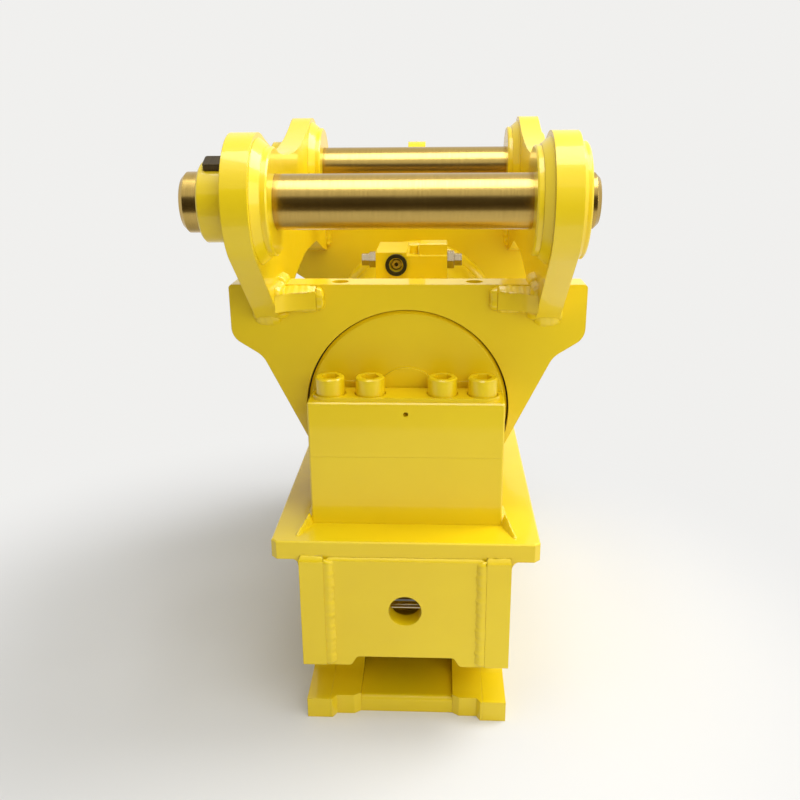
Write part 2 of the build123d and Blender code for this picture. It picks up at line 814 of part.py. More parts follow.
# Ring gear that turns the piston with the head
with BuildPart() as ring_gear:
    with BuildSketch(Plane.XZ.offset(-ring_gear_front - ring_gear_t)):
        with Locations((0, axis_z)):
            Circle(tube_in_r - seat_gap)
            Circle(skirt_r + mesh_gap, mode=Mode.SUBTRACT)
            with PolarLocations(skirt_r, spline_count):
                Rectangle(2 * spline_h + 2 * mesh_gap, spline_w + 2 * mesh_gap, mode=Mode.SUBTRACT)
    extrude(amount=ring_gear_t)
ring_gear.part.label = "ring_gear"
export_step(ring_gear.part, "parts/ring_gear.step")

# Housing tube, flared by a weld over its upper half at each hanger plate
weld_leg = 12.0
with BuildPart() as housing_tube:
    with BuildSketch(Plane.YZ):
        with BuildLine():
            Line((plate_rear, axis_z + tube_in_r), (plate_rear, axis_z + tube_r + weld_leg))
            RadiusArc(
                (plate_rear, axis_z + tube_r + weld_leg),
                (plate_rear + weld_leg, axis_z + tube_r),
                weld_leg,
            )
            Line((plate_rear + weld_leg, axis_z + tube_r), (tube_rear - weld_leg, axis_z + tube_r))
            RadiusArc(
                (tube_rear - weld_leg, axis_z + tube_r),
                (tube_rear, axis_z + tube_r + weld_leg),
                weld_leg,
            )
            Polyline(
                (tube_rear, axis_z + tube_r + weld_leg),
                (tube_rear, axis_z + tube_in_r),
                (plate_rear, axis_z + tube_in_r),
            )
        make_face()
    revolve(axis=tilt_axis)
    with BuildSketch(Plane.XZ.offset(-tube_rear)):
        with Locations((0, axis_z - tube_r)):
            Rectangle(4 * tube_r, 2 * tube_r)
        with Locations((0, axis_z)):
            Circle(tube_r, mode=Mode.SUBTRACT)
    extrude(amount=tube_length, mode=Mode.SUBTRACT)
housing_tube.part.label = "housing_tube"
export_step(housing_tube.part, "parts/housing_tube.step")


def drive_ring(inner_r, outer_r, front_y, length):
    """Plain ring round the tilt axis."""
    with BuildPart() as ring:
        with BuildSketch(Plane.XZ.offset(-front_y - length)):
            with Locations((0, axis_z)):
                Circle(outer_r)
                Circle(inner_r, mode=Mode.SUBTRACT)
        extrude(amount=length)
    return ring.part


# Bushes, and the pairs of rings at both ends of the drive
bush_sizes = (journal_r + run_gap, tube_in_r - seat_gap, plate_rear + seat_gap, bush_length)
dust_seal_t = 6.0
dust_seal_inset = 10.0
ring_land = 1.0
ring_pairs = {
    "thrust_rings": (journal_r + run_gap, flange_r - ring_land, flange_rear + run_gap, thrust_t),
    "shaft_seals": (journal_r + run_gap, tube_in_r - seat_gap, plate_rear + bush_length + ring_land, seal_t),
    "dust_seals": (flange_r + run_gap, plate_bore_r - seat_gap, plate_front + dust_seal_inset, dust_seal_t),
}
with BuildPart() as front_bush:
    add(drive_ring(*bush_sizes))
front_bush.part.label = "front_bush"
export_step(front_bush.part, "parts/front_bush.step")

with BuildPart() as rear_bush:
    mirror(front_bush.part, about=middle)
rear_bush.part.label = "rear_bush"
export_step(rear_bush.part, "parts/rear_bush.step")

for pair_name, ring_sizes in ring_pairs.items():
    with BuildPart() as ring_pair:
        add(drive_ring(*ring_sizes))
        mirror(about=middle)
    ring_pair.part.label = pair_name
    export_step(ring_pair.part, f"parts/{pair_name}.step")

# Hanger plates: a V below, tangent to an arc that clears the top plate
flank_foot = on_circle((0, axis_z), tube_r, -flank_angle)
bend_x = flank_foot[0] + flank_length * sin(radians(flank_angle))
bend_z = flank_foot[1] + flank_length * cos(radians(flank_angle))
shoulder_z = bend_z + (plate_half_w - bend_x) * tan(radians(shoulder_angle))
belly = (0, axis_z - tube_r)


def hanger_plate(rear_y, upper_points, upper_radii):
    """V plate with the bore of the drive, from its rear face forward."""
    right_points = [flank_foot, (bend_x, bend_z), (plate_half_w, shoulder_z)] + upper_points
    left_points = [(-x, z) for x, z in reversed(right_points)]
    radii = [waist_round, shoulder_round] + upper_radii
    with BuildPart() as plate:
        with BuildSketch(Plane.XZ.offset(-rear_y)):
            with BuildLine():
                ThreePointArc(left_points[-1], belly, right_points[0])
                FilletPolyline(*right_points, *left_points, radius=radii + list(reversed(radii)))
            make_face()
            with Locations((0, axis_z)):
                Circle(plate_bore_r, mode=Mode.SUBTRACT)
        extrude(amount=plate_t)
    return plate.part


with BuildPart() as front_hanger_plate:
    add(hanger_plate(plate_rear, [(plate_half_w, plate_top)], [top_round]))
    with BuildSketch(Plane.XY.offset(plate_top)):
        with Locations((0, plate_front + plate_t / 2)):
            with GridLocations(lifting_spacing, 1, 2, 1):
                Circle(lifting_tap_d / 2)
    extrude(amount=-lifting_tap_depth, mode=Mode.SUBTRACT)
front_hanger_plate.part.label = "front_hanger_plate"
export_step(front_hanger_plate.part, "parts/front_hanger_plate.step")

rear_plate_top = axis_z + rear_plate_rise
rear_points = [(plate_half_w, plate_top - rear_shoulder_drop), (rear_plate_half_w, rear_plate_top)]
rear_hanger_plate = hanger_plate(rear_plate_rear, rear_points, [rear_shoulder_drop, rear_top_round])
rear_hanger_plate.label = "rear_hanger_plate"
export_step(rear_hanger_plate, "parts/rear_hanger_plate.step")

# Lifting lug on top of the rear hanger plate
lug_plate_t = 24.0
lug_head_r = 24.0
lug_hole_r = 13.0
lug_hole_rise = 45.0
lug_y = tube_rear + plate_t / 2
with BuildPart() as lifting_lug:
    with BuildSketch(Plane.YZ.offset(-lug_plate_t / 2)):
        with Locations((lug_y, rear_plate_top + lug_hole_rise / 2)):
            Rectangle(plate_t, lug_hole_rise)
        with Locations((lug_y, rear_plate_top + lug_hole_rise)):
            Circle(lug_head_r)
            Circle(lug_hole_r, mode=Mode.SUBTRACT)
    extrude(amount=lug_plate_t)
lifting_lug.part.label = "lifting_lug"
export_step(lifting_lug.part, "parts/lifting_lug.step")

# Ears: two humps round the machine pins with a long hollow between them
ear_in = stick_gap / 2 + boss_length
ear_out = ear_in + ear_t
pin_bore_r = pin_r + seat_gap
front_pin = (front_pin_y, axis_z + front_pin_rise)
rear_pin = (rear_pin_y, axis_z + rear_pin_rise)
ear_tip = (plate_front, axis_z + ear_tip_rise)
ear_heel = (tube_rear, axis_z + rear_ear_top)
pin_pitch = hypot(rear_pin[0] - front_pin[0], rear_pin[1] - front_pin[1])
pin_line = bearing(front_pin, rear_pin)
hollow_reach = saddle_r + hump_r
hollow_angle = pin_line + degrees(acos(pin_pitch / 2 / hollow_reach))
hollow_centre = on_circle(front_pin, hollow_reach, hollow_angle)
front_touch = tangent_angle(ear_tip, front_pin, hump_r, -1) + 360
rear_touch = tangent_angle(ear_heel, rear_pin, hump_r, 1)
hollow_start = bearing(hollow_centre, front_pin)
hollow_end = bearing(hollow_centre, rear_pin)
rear_start = hollow_end + 180
arch_mid = ((plate_rear + arch_crown_y) / 2, axis_z + (arch_foot + arch_crown) / 2 + arch_bulge)

with BuildPart() as right_ear:
    with BuildSketch(Plane.YZ.offset(ear_in)):
        with BuildLine():
            Line(ear_tip, on_circle(front_pin, hump_r, front_touch))
            CenterArc(front_pin, hump_r, front_touch, hollow_angle - front_touch)
            CenterArc(hollow_centre, saddle_r, hollow_start, hollow_end - hollow_start)
            CenterArc(rear_pin, hump_r, rear_start, rear_touch - rear_start)
            Polyline(
                on_circle(rear_pin, hump_r, rear_touch),
                ear_heel,
                (tube_rear, axis_z + rear_ear_foot),
                (arch_knee_y, axis_z + arch_knee),
                (arch_bend_y, axis_z + arch_crown),
                (arch_crown_y, axis_z + arch_crown),
            )
            ThreePointArc((arch_crown_y, axis_z + arch_crown), arch_mid, (plate_rear, axis_z + arch_foot))
            Polyline(
                (plate_rear, axis_z + arch_foot),
                (plate_rear, plate_top),
                (plate_front, plate_top),
                ear_tip,
            )
        make_face()
        with Locations(front_pin, rear_pin):
            Circle(pin_bore_r, mode=Mode.SUBTRACT)
    extrude(amount=ear_t)
right_ear.part.label = "right_ear"
export_step(right_ear.part, "parts/right_ear.step")

with BuildPart() as left_ear:
    mirror(right_ear.part, about=Plane.YZ)
left_ear.part.label = "left_ear"
export_step(left_ear.part, "parts/left_ear.step")

# Gussets in the corners between the ears and the front hanger plate
gusset_t = 18.0
gusset_rise = 108.5
gusset_reach = 26.0
gusset_foot_x = 88.0
gusset_nose = 7.5
gusset_slope = 4.0
with BuildPart() as right_gusset:
    with BuildSketch(Plane.XY.offset(axis_z + gusset_rise)):
        with BuildLine():
            Polyline(
                (gusset_foot_x + gusset_slope, plate_front - gusset_nose),
                (gusset_foot_x, plate_front),
                (ear_in, plate_front),
                (ear_in, plate_front - gusset_reach),
            )
            RadiusArc(
                (ear_in, plate_front - gusset_reach),
                (gusset_foot_x + gusset_slope, plate_front - gusset_nose),
                -2 * gusset_reach,
            )
        make_face()
    extrude(amount=gusset_t)
right_gusset.part.label = "right_gusset"
export_step(right_gusset.part, "parts/right_gusset.step")

with BuildPart() as left_gusset:
    mirror(right_gusset.part, about=Plane.YZ)
left_gusset.part.label = "left_gusset"
export_step(left_gusset.part, "parts/left_gusset.step")


def pin_ring(centre, base_x, length, radius, weld):
    """Ring round a machine pin, standing on an ear with a sloping weld at its foot."""
    with BuildPart() as ring:
        with BuildSketch(Plane.YZ.offset(base_x)):
            with Locations(centre):
                Circle(radius)
        extrude(amount=length)
        if weld > 0:
            with BuildSketch(Plane.YZ.offset(base_x)):
                with Locations(centre):
                    Circle(radius + weld)
            extrude(amount=weld if length > 0 else -weld, taper=weld_taper)
        chamfer(ring.edges().filter_by(GeomType.CIRCLE).sort_by(Axis.X)[0 if length < 0 else -1], edge_break)
        with BuildSketch(Plane.YZ.offset(base_x)):
            with Locations(centre):
                Circle(pin_bore_r)
        extrude(amount=length, mode=Mode.SUBTRACT)
    return ring


# Machine pins with their bosses, collars and cross bolts
outer_boss_t = 8.7
outer_boss_weld = 4.0
collar_length = 27.8
collar_wall = 11.4
rear_collar_wall = 7.4
pin_left = 18.6
pin_right = 12.2
pin_head_r = 27.5
pin_chamfer = 4.0
bolt_r = 5.0
bolt_play = 0.5
bolt_key = 17.0
bolt_corner = 2.5
bolt_head_h = 6.5
bolt_break = 0.6
nut_key = 17.0
nut_h = 7.0
nut_seat = 27.0
nut_pocket_r = 12.0
front_lean = 24.0
rear_lean = -105.0
front_boss_r = 52.0
rear_boss_r = 42.0
bolt_x = -ear_out - collar_length / 2
pin_start = -ear_out - collar_length - pin_left
pin_end = ear_out + outer_boss_t + pin_right

# Each end of the ears: pin place, collar radius, lean of the bolt's head and radius of the outer boss
front_end = (front_pin, pin_bore_r + collar_wall, front_lean, front_boss_r)
rear_end = (rear_pin, pin_bore_r + rear_collar_wall, rear_lean, rear_boss_r)
ends = {"front": front_end, "rear": rear_end}


def bolt_plane(centre, lean):
    """Plane square to a cross bolt, whose head leans forward by an angle in degrees."""
    way = (0, -sin(radians(lean)), cos(radians(lean)))
    return Plane((bolt_x, centre[0], centre[1]), (1, 0, 0), way)


for end, (centre, collar_r, lean, outer_boss_r) in ends.items():
    bolt_way = bolt_plane(centre, lean)
    bolt_flat = collar_r - bolt_gap
    for side, name in ((1, "right"), (-1, "left")):
        boss = pin_ring(centre, side * ear_in, -side * boss_length, boss_r, boss_weld)
        boss.part.label = f"{end}_{name}_boss"
        export_step(boss.part, f"parts/{end}_{name}_boss.step")
    outer_boss = pin_ring(centre, ear_out, outer_boss_t, outer_boss_r, outer_boss_weld)
    outer_boss.part.label = f"{end}_outer_boss"
    export_step(outer_boss.part, f"parts/{end}_outer_boss.step")

    with BuildPart() as collar:
        add(pin_ring(centre, -ear_out, -collar_length, collar_r, 0).part)
        with BuildSketch(bolt_way.offset(-2 * collar_r)):
            Circle(bolt_r + bolt_play)
        extrude(amount=4 * collar_r, mode=Mode.SUBTRACT)
        with BuildSketch(bolt_way.offset(bolt_flat)):
            RectangleRounded(bolt_key + bolt_gap, 4 * bolt_key, bolt_corner)
        extrude(amount=collar_r, mode=Mode.SUBTRACT)
        with BuildSketch(bolt_way.offset(-nut_seat)):
            Circle(nut_pocket_r)
        extrude(amount=-collar_r, mode=Mode.SUBTRACT)
    collar.part.label = f"{end}_collar"
    export_step(collar.part, f"parts/{end}_collar.step")

    with BuildPart() as machine_pin:
        with BuildSketch(Plane.YZ.offset(pin_start)):
            with Locations(centre):
                Circle(pin_r)
        extrude(amount=pin_end - pin_start)
        with BuildSketch(Plane.YZ.offset(pin_start)):
            with Locations(centre):
                Circle(pin_head_r)
        extrude(amount=pin_left)
        rims = machine_pin.edges().filter_by(GeomType.CIRCLE).sort_by(Axis.X)
        chamfer([rims[0], rims[-1]], pin_chamfer)
        with BuildSketch(bolt_way.offset(-2 * collar_r)):
            Circle(bolt_r + bolt_play)
        extrude(amount=4 * collar_r, mode=Mode.SUBTRACT)
    machine_pin.part.label = f"{end}_pin"
    export_step(machine_pin.part, f"parts/{end}_pin.step")

with BuildPart() as cross_bolts:
    for centre, collar_r, lean, outer_boss_r in ends.values():
        bolt_way = bolt_plane(centre, lean)
        bolt_flat = collar_r - bolt_gap
        with BuildSketch(bolt_way.offset(bolt_flat)):
            RectangleRounded(bolt_key, bolt_key, bolt_corner)
        bolt_head = extrude(amount=bolt_head_h)
        outward = Axis(bolt_way.origin, bolt_way.z_dir)
        chamfer(bolt_head.faces().sort_by(outward)[-1].edges(), bolt_break)
        with BuildSketch(bolt_way.offset(-nut_seat - nut_h)):
            Circle(bolt_r)
        extrude(amount=nut_seat + nut_h + bolt_flat)
cross_bolts.part.label = "cross_bolts"
export_step(cross_bolts.part, "parts/cross_bolts.step")

with BuildPart() as cross_nuts:
    for centre, collar_r, lean, outer_boss_r in ends.values():
        with BuildSketch(bolt_plane(centre, lean).offset(-nut_seat)):
            RegularPolygon(nut_key / 2, 6, major_radius=False)
            Circle(bolt_r + seat_gap, mode=Mode.SUBTRACT)
        extrude(amount=-nut_h)
cross_nuts.part.label = "cross_nuts"
export_step(cross_nuts.part, "parts/cross_nuts.step")

# Counterbalance valve block on top of the tube
valve_set_back = 99.5
valve_length = 86.0
valve_left = -41.0
valve_right = 42.0
valve_split = -5.0
valve_left_rise = 144.5
valve_right_rise = 140.5
valve_upper_rise = 153.5
valve_upper_left = 9.5
valve_upper_inset = 7.0
valve_upper_length = 32.0
valve_break = 1.0
port_x = -17.0
port_rise = 130.5
port_mouth_r = 8.3
port_recess_r = 7.0
port_recess_depth = 14.0
plug_x = 3.0
plug_r = 5.0
plug_set_back = 22.0
plug_top = 149.5
valve_front = plate_rear + valve_set_back
with BuildPart() as valve_block:
    with BuildSketch(Plane.XZ.offset(-valve_front - valve_length)):
        with BuildLine():
            Polyline(
                (valve_left, axis_z),
                (valve_left, axis_z + valve_left_rise),
                (valve_split, axis_z + valve_left_rise),
                (valve_split, axis_z + valve_right_rise),
                (valve_right, axis_z + valve_right_rise),
                (valve_right, axis_z),
                close=True,
            )
        make_face()
    extrude(amount=valve_length)
    with BuildSketch(Plane.XZ.offset(-valve_front - valve_upper_inset - valve_upper_length)):
        with Locations(((valve_upper_left + valve_right) / 2, axis_z + valve_upper_rise / 2)):
            Rectangle(valve_right - valve_upper_left, valve_upper_rise)
    extrude(amount=valve_upper_length)
    chamfer(valve_block.faces().filter_by(Axis.Z).sort_by(Axis.Z)[-1].edges(), valve_break)
    with BuildSketch(Plane.XY.offset(axis_z + valve_right_rise)):
        with Locations((plug_x, valve_front + plug_set_back)):
            Circle(plug_r)
    extrude(amount=plug_top - valve_right_rise)
    with BuildSketch(Plane.XZ.offset(-valve_front - port_recess_depth)):
        with Locations((port_x, axis_z + port_rise)):
            Circle(port_recess_r)
    extrude(amount=port_recess_depth, mode=Mode.SUBTRACT)
    with BuildSketch(Plane.XZ.offset(-valve_front - 2 * valve_length)):
        with Locations((0, axis_z)):
            Circle(tube_r)
    extrude(amount=3 * valve_length, mode=Mode.SUBTRACT)
valve_block.part.label = "valve_block"
export_step(valve_block.part, "parts/valve_block.step")

# Port ring of the valve block, and its adjusters with the nipple inside the port
port_ring_r = 12.5
port_ring_t = 5.0
nipple_r = 5.3
nipple_bore_r = 2.2
nipple_length = 8.0
nipple_gap = 2.0
adjuster_set_back = 16.0
adjuster_rise = 134.0
adjuster_nut_h = 8.0
adjuster_cap_h = 9.0
left_nut_key = 17.0
right_nut_key = 19.0
adjuster_cap_key = 13.0
adjuster_y = valve_front + adjuster_set_back
with BuildPart() as valve_port:
    with BuildSketch(Plane.XZ.offset(-valve_front)):
        with Locations((port_x, axis_z + port_rise)):
            Circle(port_ring_r)
            Circle(port_mouth_r, mode=Mode.SUBTRACT)
    extrude(amount=port_ring_t)
valve_port.part.label = "valve_port"
export_step(valve_port.part, "parts/valve_port.step")

with BuildPart() as valve_adjusters:
    for side, face_x, adjuster_key in ((-1, valve_left, left_nut_key), (1, valve_right, right_nut_key)):
        with BuildSketch(Plane.YZ.offset(face_x)):
            with Locations((adjuster_y, axis_z + adjuster_rise)):
                RegularPolygon(adjuster_key / 2, 6, major_radius=False)
        extrude(amount=side * adjuster_nut_h)
        with BuildSketch(Plane.YZ.offset(face_x + side * adjuster_nut_h)):
            with Locations((adjuster_y, axis_z + adjuster_rise)):
                RegularPolygon(adjuster_cap_key / 2, 6, major_radius=False)
        extrude(amount=side * adjuster_cap_h)
    with BuildSketch(Plane.XZ.offset(-valve_front - port_recess_depth)):
        with Locations((port_x, axis_z + port_rise)):
            Circle(port_recess_r - seat_gap)
            Circle(nipple_bore_r, mode=Mode.SUBTRACT)
    extrude(amount=port_recess_depth - nipple_length - nipple_gap)
    with BuildSketch(Plane.XZ.offset(-valve_front - port_recess_depth)):
        with Locations((port_x, axis_z + port_rise)):
            Circle(nipple_r)
            Circle(nipple_bore_r, mode=Mode.SUBTRACT)
    extrude(amount=port_recess_depth - nipple_gap)
valve_adjusters.part.label = "valve_adjusters"
export_step(valve_adjusters.part, "parts/valve_adjusters.step")
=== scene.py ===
# %% [markdown]
# # A tilting quick coupler, dressed in paint and weld
#
# The machine is a stack of thick steel plates, cut by flame, welded together and sprayed in one
# glossy yellow. Only its two big pins, a few fittings, the seals and the drive inside are left
# bare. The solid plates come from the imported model. This script gives them their finish, adds
# the weld beads that hold them together, and sets up the studio in which they are seen.

# %% Load the frame
import json
import math

import bpy
import numpy as np
from mathutils import Matrix, Vector


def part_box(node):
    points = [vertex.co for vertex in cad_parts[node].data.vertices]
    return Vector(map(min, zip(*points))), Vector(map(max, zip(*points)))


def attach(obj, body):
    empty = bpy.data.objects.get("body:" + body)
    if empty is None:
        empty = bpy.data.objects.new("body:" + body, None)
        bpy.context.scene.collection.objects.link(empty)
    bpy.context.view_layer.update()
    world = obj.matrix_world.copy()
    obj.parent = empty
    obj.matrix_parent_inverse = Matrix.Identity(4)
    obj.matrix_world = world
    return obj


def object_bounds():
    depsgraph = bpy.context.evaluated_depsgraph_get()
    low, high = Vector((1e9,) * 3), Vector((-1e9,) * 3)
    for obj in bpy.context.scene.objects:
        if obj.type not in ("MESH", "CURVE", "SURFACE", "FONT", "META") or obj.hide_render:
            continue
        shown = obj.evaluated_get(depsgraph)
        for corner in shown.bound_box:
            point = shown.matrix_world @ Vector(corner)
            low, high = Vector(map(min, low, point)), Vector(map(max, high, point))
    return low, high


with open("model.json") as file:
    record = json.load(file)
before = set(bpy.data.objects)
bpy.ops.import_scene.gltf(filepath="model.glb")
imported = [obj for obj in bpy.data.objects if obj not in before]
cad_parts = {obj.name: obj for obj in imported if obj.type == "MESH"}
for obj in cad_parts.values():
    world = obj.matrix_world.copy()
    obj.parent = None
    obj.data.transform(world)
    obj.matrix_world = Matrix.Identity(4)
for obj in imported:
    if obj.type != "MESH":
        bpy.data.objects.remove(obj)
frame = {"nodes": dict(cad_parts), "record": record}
nodes = frame["nodes"]
cad_low, cad_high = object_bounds()
MM = 0.001
print("nodes", len(nodes), "height", round(cad_high.z - cad_low.z, 4))

# %% [markdown]
# ## The camera
#
# A camera is fixed by where it stands and where its three axes point. It is easiest to read as
# a person would say it: turned a little to the left, looking down, held slightly askew. The turn
# and the look down give the view's direction and the level across it. A cross product gives the
# axis square to both, and the last angle rolls the camera about its view.

# %% Camera
CAMERA_PLACE = Vector((34.0, -818.4, 580.4)) * MM
CAMERA_TURN = math.radians(2.8)
CAMERA_DOWN = math.radians(18.7)
CAMERA_ROLL = math.radians(0.5)
LENS_MM = 38.25
SENSOR_MM = 36.0
SIGHT_LIMIT = 100.0


def add_object(name, data):
    """An object in the scene that holds a camera, a lamp or a mesh."""
    thing = bpy.data.objects.new(name, data)
    bpy.context.scene.collection.objects.link(thing)
    return thing


def camera_axes(turn, down, roll):
    """Right, up and back axes of a camera: the level axes, then turned by the roll about the view."""
    level = Vector((math.cos(turn), math.sin(turn), 0.0))
    ahead = Vector((-math.sin(turn) * math.cos(down), math.cos(turn) * math.cos(down), -math.sin(down)))
    below = ahead.cross(level)
    right = math.cos(roll) * level + math.sin(roll) * below
    under = -math.sin(roll) * level + math.cos(roll) * below
    return right, -under, -ahead


camera_data = bpy.data.cameras.new("studio_camera")
camera_data.lens = LENS_MM
camera_data.sensor_width = SENSOR_MM
camera_data.clip_end = SIGHT_LIMIT
camera = add_object("studio_camera", camera_data)
axes = Matrix(camera_axes(CAMERA_TURN, CAMERA_DOWN, CAMERA_ROLL)).transposed()
camera.matrix_world = Matrix.Translation(CAMERA_PLACE) @ axes.to_4x4()
bpy.context.scene.camera = camera
print("camera at", [round(c, 3) for c in camera.location])

# %% [markdown]
# ## Small tools for shader nodes
#
# A finish is a handful of shader nodes. Naming each node by its type and giving its settings in
# one call keeps a material as short as the sentence that describes it.

# %% Shader helpers
EDGE_SAMPLES = 6


def new_material(name):
    """An empty node material with its output and a Principled shader, already joined."""
    material = bpy.data.materials.new(name)
    material.use_nodes = True
    tree = material.node_tree
    tree.nodes.clear()
    out = tree.nodes.new("ShaderNodeOutputMaterial")
    shader = tree.nodes.new("ShaderNodeBsdfPrincipled")
    tree.links.new(shader.outputs["BSDF"], out.inputs["Surface"])
    return material, tree, shader


def add_node(tree, kind, **settings):
    """A node of one kind; a setting is either one of its sockets or one of its properties."""
    node = tree.nodes.new("ShaderNode" + kind)
    for key, value in settings.items():
        if key in node.inputs:
            node.inputs[key].default_value = value
        else:
            setattr(node, key, value)
    return node


def noise(tree, scale, detail=2.0, stretch=(1.0, 1.0, 1.0)):
    """Noise on the object's own metres, with so many features to the metre along each axis."""
    place = add_node(tree, "TexCoord")
    sizing = add_node(tree, "Mapping", Scale=stretch)
    grain = add_node(tree, "TexNoise", Scale=scale, Detail=detail)
    tree.links.new(place.outputs["Object"], sizing.inputs["Vector"])
    tree.links.new(sizing.outputs["Vector"], grain.inputs["Vector"])
    return grain.outputs["Fac"]


def ramp(tree, source, low, high):
    """Blend of two colours over a value; low and high are each a position and its colour."""
    node = add_node(tree, "ValToRGB")
    for element, (position, colour) in zip(node.color_ramp.elements, (low, high)):
        element.position = position
        element.color = (*colour, 1.0)
    tree.links.new(source, node.inputs["Fac"])
    return node.outputs["Color"]


def value_range(tree, source, low, high):
    """The value of a pattern, from 0 to 1, spread between two numbers."""
    node = add_node(tree, "MapRange")
    node.inputs["To Min"].default_value = low
    node.inputs["To Max"].default_value = high
    tree.links.new(source, node.inputs["Value"])
    return node.outputs["Result"]


def bump(tree, shader, height, depth, rounding=0.0):
    """Surface relief of a given depth in metres, over edges that are rounded by a small radius."""
    node = add_node(tree, "Bump", Strength=1.0, Distance=depth)
    tree.links.new(height, node.inputs["Height"])
    if rounding > 0:
        edge = add_node(tree, "Bevel", samples=EDGE_SAMPLES, Radius=rounding)
        tree.links.new(edge.outputs["Normal"], node.inputs["Normal"])
    tree.links.new(node.outputs["Normal"], shader.inputs["Normal"])


def background_rays(tree):
    """The largest of three yes-or-no values: one for camera, mirror and glass rays, zero for the rest."""
    rays = add_node(tree, "LightPath")
    seen = rays.outputs["Is Camera Ray"]
    for other in ("Is Glossy Ray", "Is Transmission Ray"):
        either = add_node(tree, "Math", operation="MAXIMUM")
        tree.links.new(seen, either.inputs[0])
        tree.links.new(rays.outputs[other], either.inputs[1])
        seen = either.outputs["Value"]
    return seen


print("node helpers ready, edges rounded with", EDGE_SAMPLES, "samples")

# %% [markdown]
# ## The background
#
# The background shows its pale grey to rays that come straight from the camera or off a mirror,
# and never pours that extra light over the paint. What reaches the paint from all round is a
# dimmer, warmer glow, as in a room with cream walls.

# %% World
BACKGROUND = (0.875, 0.870, 0.855, 1.0)
SKY_LIGHT = (1.0, 0.95, 0.88, 1.0)
SKY_STRENGTH = 0.27

world = bpy.data.worlds.new("studio")
bpy.context.scene.world = world
world.use_nodes = True
sky = world.node_tree
sky.nodes.clear()
sky_out = add_node(sky, "OutputWorld")
sky_mix = add_node(sky, "MixShader")
sky_light = add_node(sky, "Background", Color=SKY_LIGHT, Strength=SKY_STRENGTH)
sky_seen = add_node(sky, "Background", Color=BACKGROUND)
sky.links.new(background_rays(sky), sky_mix.inputs["Fac"])
sky.links.new(sky_light.outputs["Background"], sky_mix.inputs[1])
sky.links.new(sky_seen.outputs["Background"], sky_mix.inputs[2])
sky.links.new(sky_mix.outputs["Shader"], sky_out.inputs["Surface"])
bpy.context.scene.view_settings.view_transform = "Standard"
print("world", len(sky.nodes), "nodes")

# %% [markdown]
# ## The lamps
#
# Product photographs on white are lit by large soft boxes, so that shadows have no hard edge
# and long soft highlights run along every rounded form. One wide lamp on the right does most of
# the work, a small one at the front right makes the plates grow lighter towards it, and a lamp
# above draws their tops and the bright line along each pin. One more, which shows in no gloss,
# reaches under the head from the front. The left side has only the glow of the room.

# %% Lamps
AIM = Vector((0.0, 0.12, 0.25))


def soft_box(name, place, size, watts, tint, in_gloss=True):
    """A rectangular lamp that faces the middle of the machine."""
    lamp = bpy.data.lights.new(name, "AREA")
    lamp.shape = "RECTANGLE"
    lamp.size, lamp.size_y = size
    lamp.energy = watts
    lamp.color = tint
    holder = add_object(name, lamp)
    holder.location = place
    holder.visible_glossy = in_gloss
    holder.rotation_euler = (AIM - holder.location).to_track_quat("-Z", "Y").to_euler()
    print("lamp", name, watts, "W")


soft_box("key_right", place=(1.4, 0.6, 2.0), size=(1.2, 1.4), watts=39.0, tint=(0.97, 1.0, 1.08))
soft_box("front_right", place=(1.5, -0.7, 0.9), size=(0.9, 0.9), watts=5.5, tint=(1.0, 0.98, 0.93))
soft_box("top", place=(0.1, -0.3, 2.3), size=(1.4, 1.2), watts=26.3, tint=(0.95, 1.0, 1.05))
soft_box("front_fill", place=(0.6, -1.15, 1.0), size=(0.9, 0.9), watts=6.5, tint=(1.0, 1.0, 0.94),
         in_gloss=False)

# %% [markdown]
# ## The dark cloth
#
# Dark cloth lies on the floor from under the camera backwards, and hangs behind it, as it does
# for any picture of bare metal. It draws the dark band along the pins, and keeps the upper
# plates a full yellow. It shows in reflections alone: the camera doesn't see it, it throws no
# shadow, and it darkens no matt surface.

# %% Dark cloth
FLAG_NEAR = -0.85
FLAG_FAR = -2.6
FLAG_LIFT = 0.01
FLAG_HIGH = 1.8
FLAG_HALF = 1.8
FELT = (0.09, 0.065, 0.035, 1.0)

flag_low = cad_low.z + FLAG_LIFT
flag_line = ((FLAG_NEAR, flag_low), (FLAG_FAR, flag_low), (FLAG_FAR, FLAG_HIGH))
flag_points = [(x, y, z) for y, z in flag_line for x in (-FLAG_HALF, FLAG_HALF)]
flag_mesh = bpy.data.meshes.new("black_flag")
flag_mesh.from_pydata(flag_points, [], [(0, 1, 3, 2), (2, 3, 5, 4)])
flag = add_object("black_flag", flag_mesh)
flag.visible_camera = False
flag.visible_diffuse = False
flag.visible_shadow = False
felt, tree, shader = new_material("black_felt")
shader.inputs["Base Color"].default_value = FELT
shader.inputs["Roughness"].default_value = 1.0
flag_mesh.materials.append(felt)
print("cloth", 2 * FLAG_HALF, "m wide")

# %% [markdown]
# ## Yellow paint
#
# The machine is sprayed with a thick two-part enamel. It levels out into a gloss with a faint
# orange peel, a few millimetres across, and it is never quite even: where the gun passed twice
# the yellow is fuller. Cut edges keep a small round from grinding, and catch the light as a thin
# bright line, so the shader rounds its edges by about a millimetre.

# %% Yellow paint
PAINT = (0.88, 0.650, 0.005)
PAINT_FULL = (0.85, 0.612, 0.004)
PAINT_ROUND = 1.2 * MM
PATCHES_A_METRE = 9.0
MIST_A_METRE = 60.0
PEEL_A_METRE = 260.0
PEEL_DEPTH = 0.07 * MM
PAINT_ROUGHNESS = (0.30, 0.42)


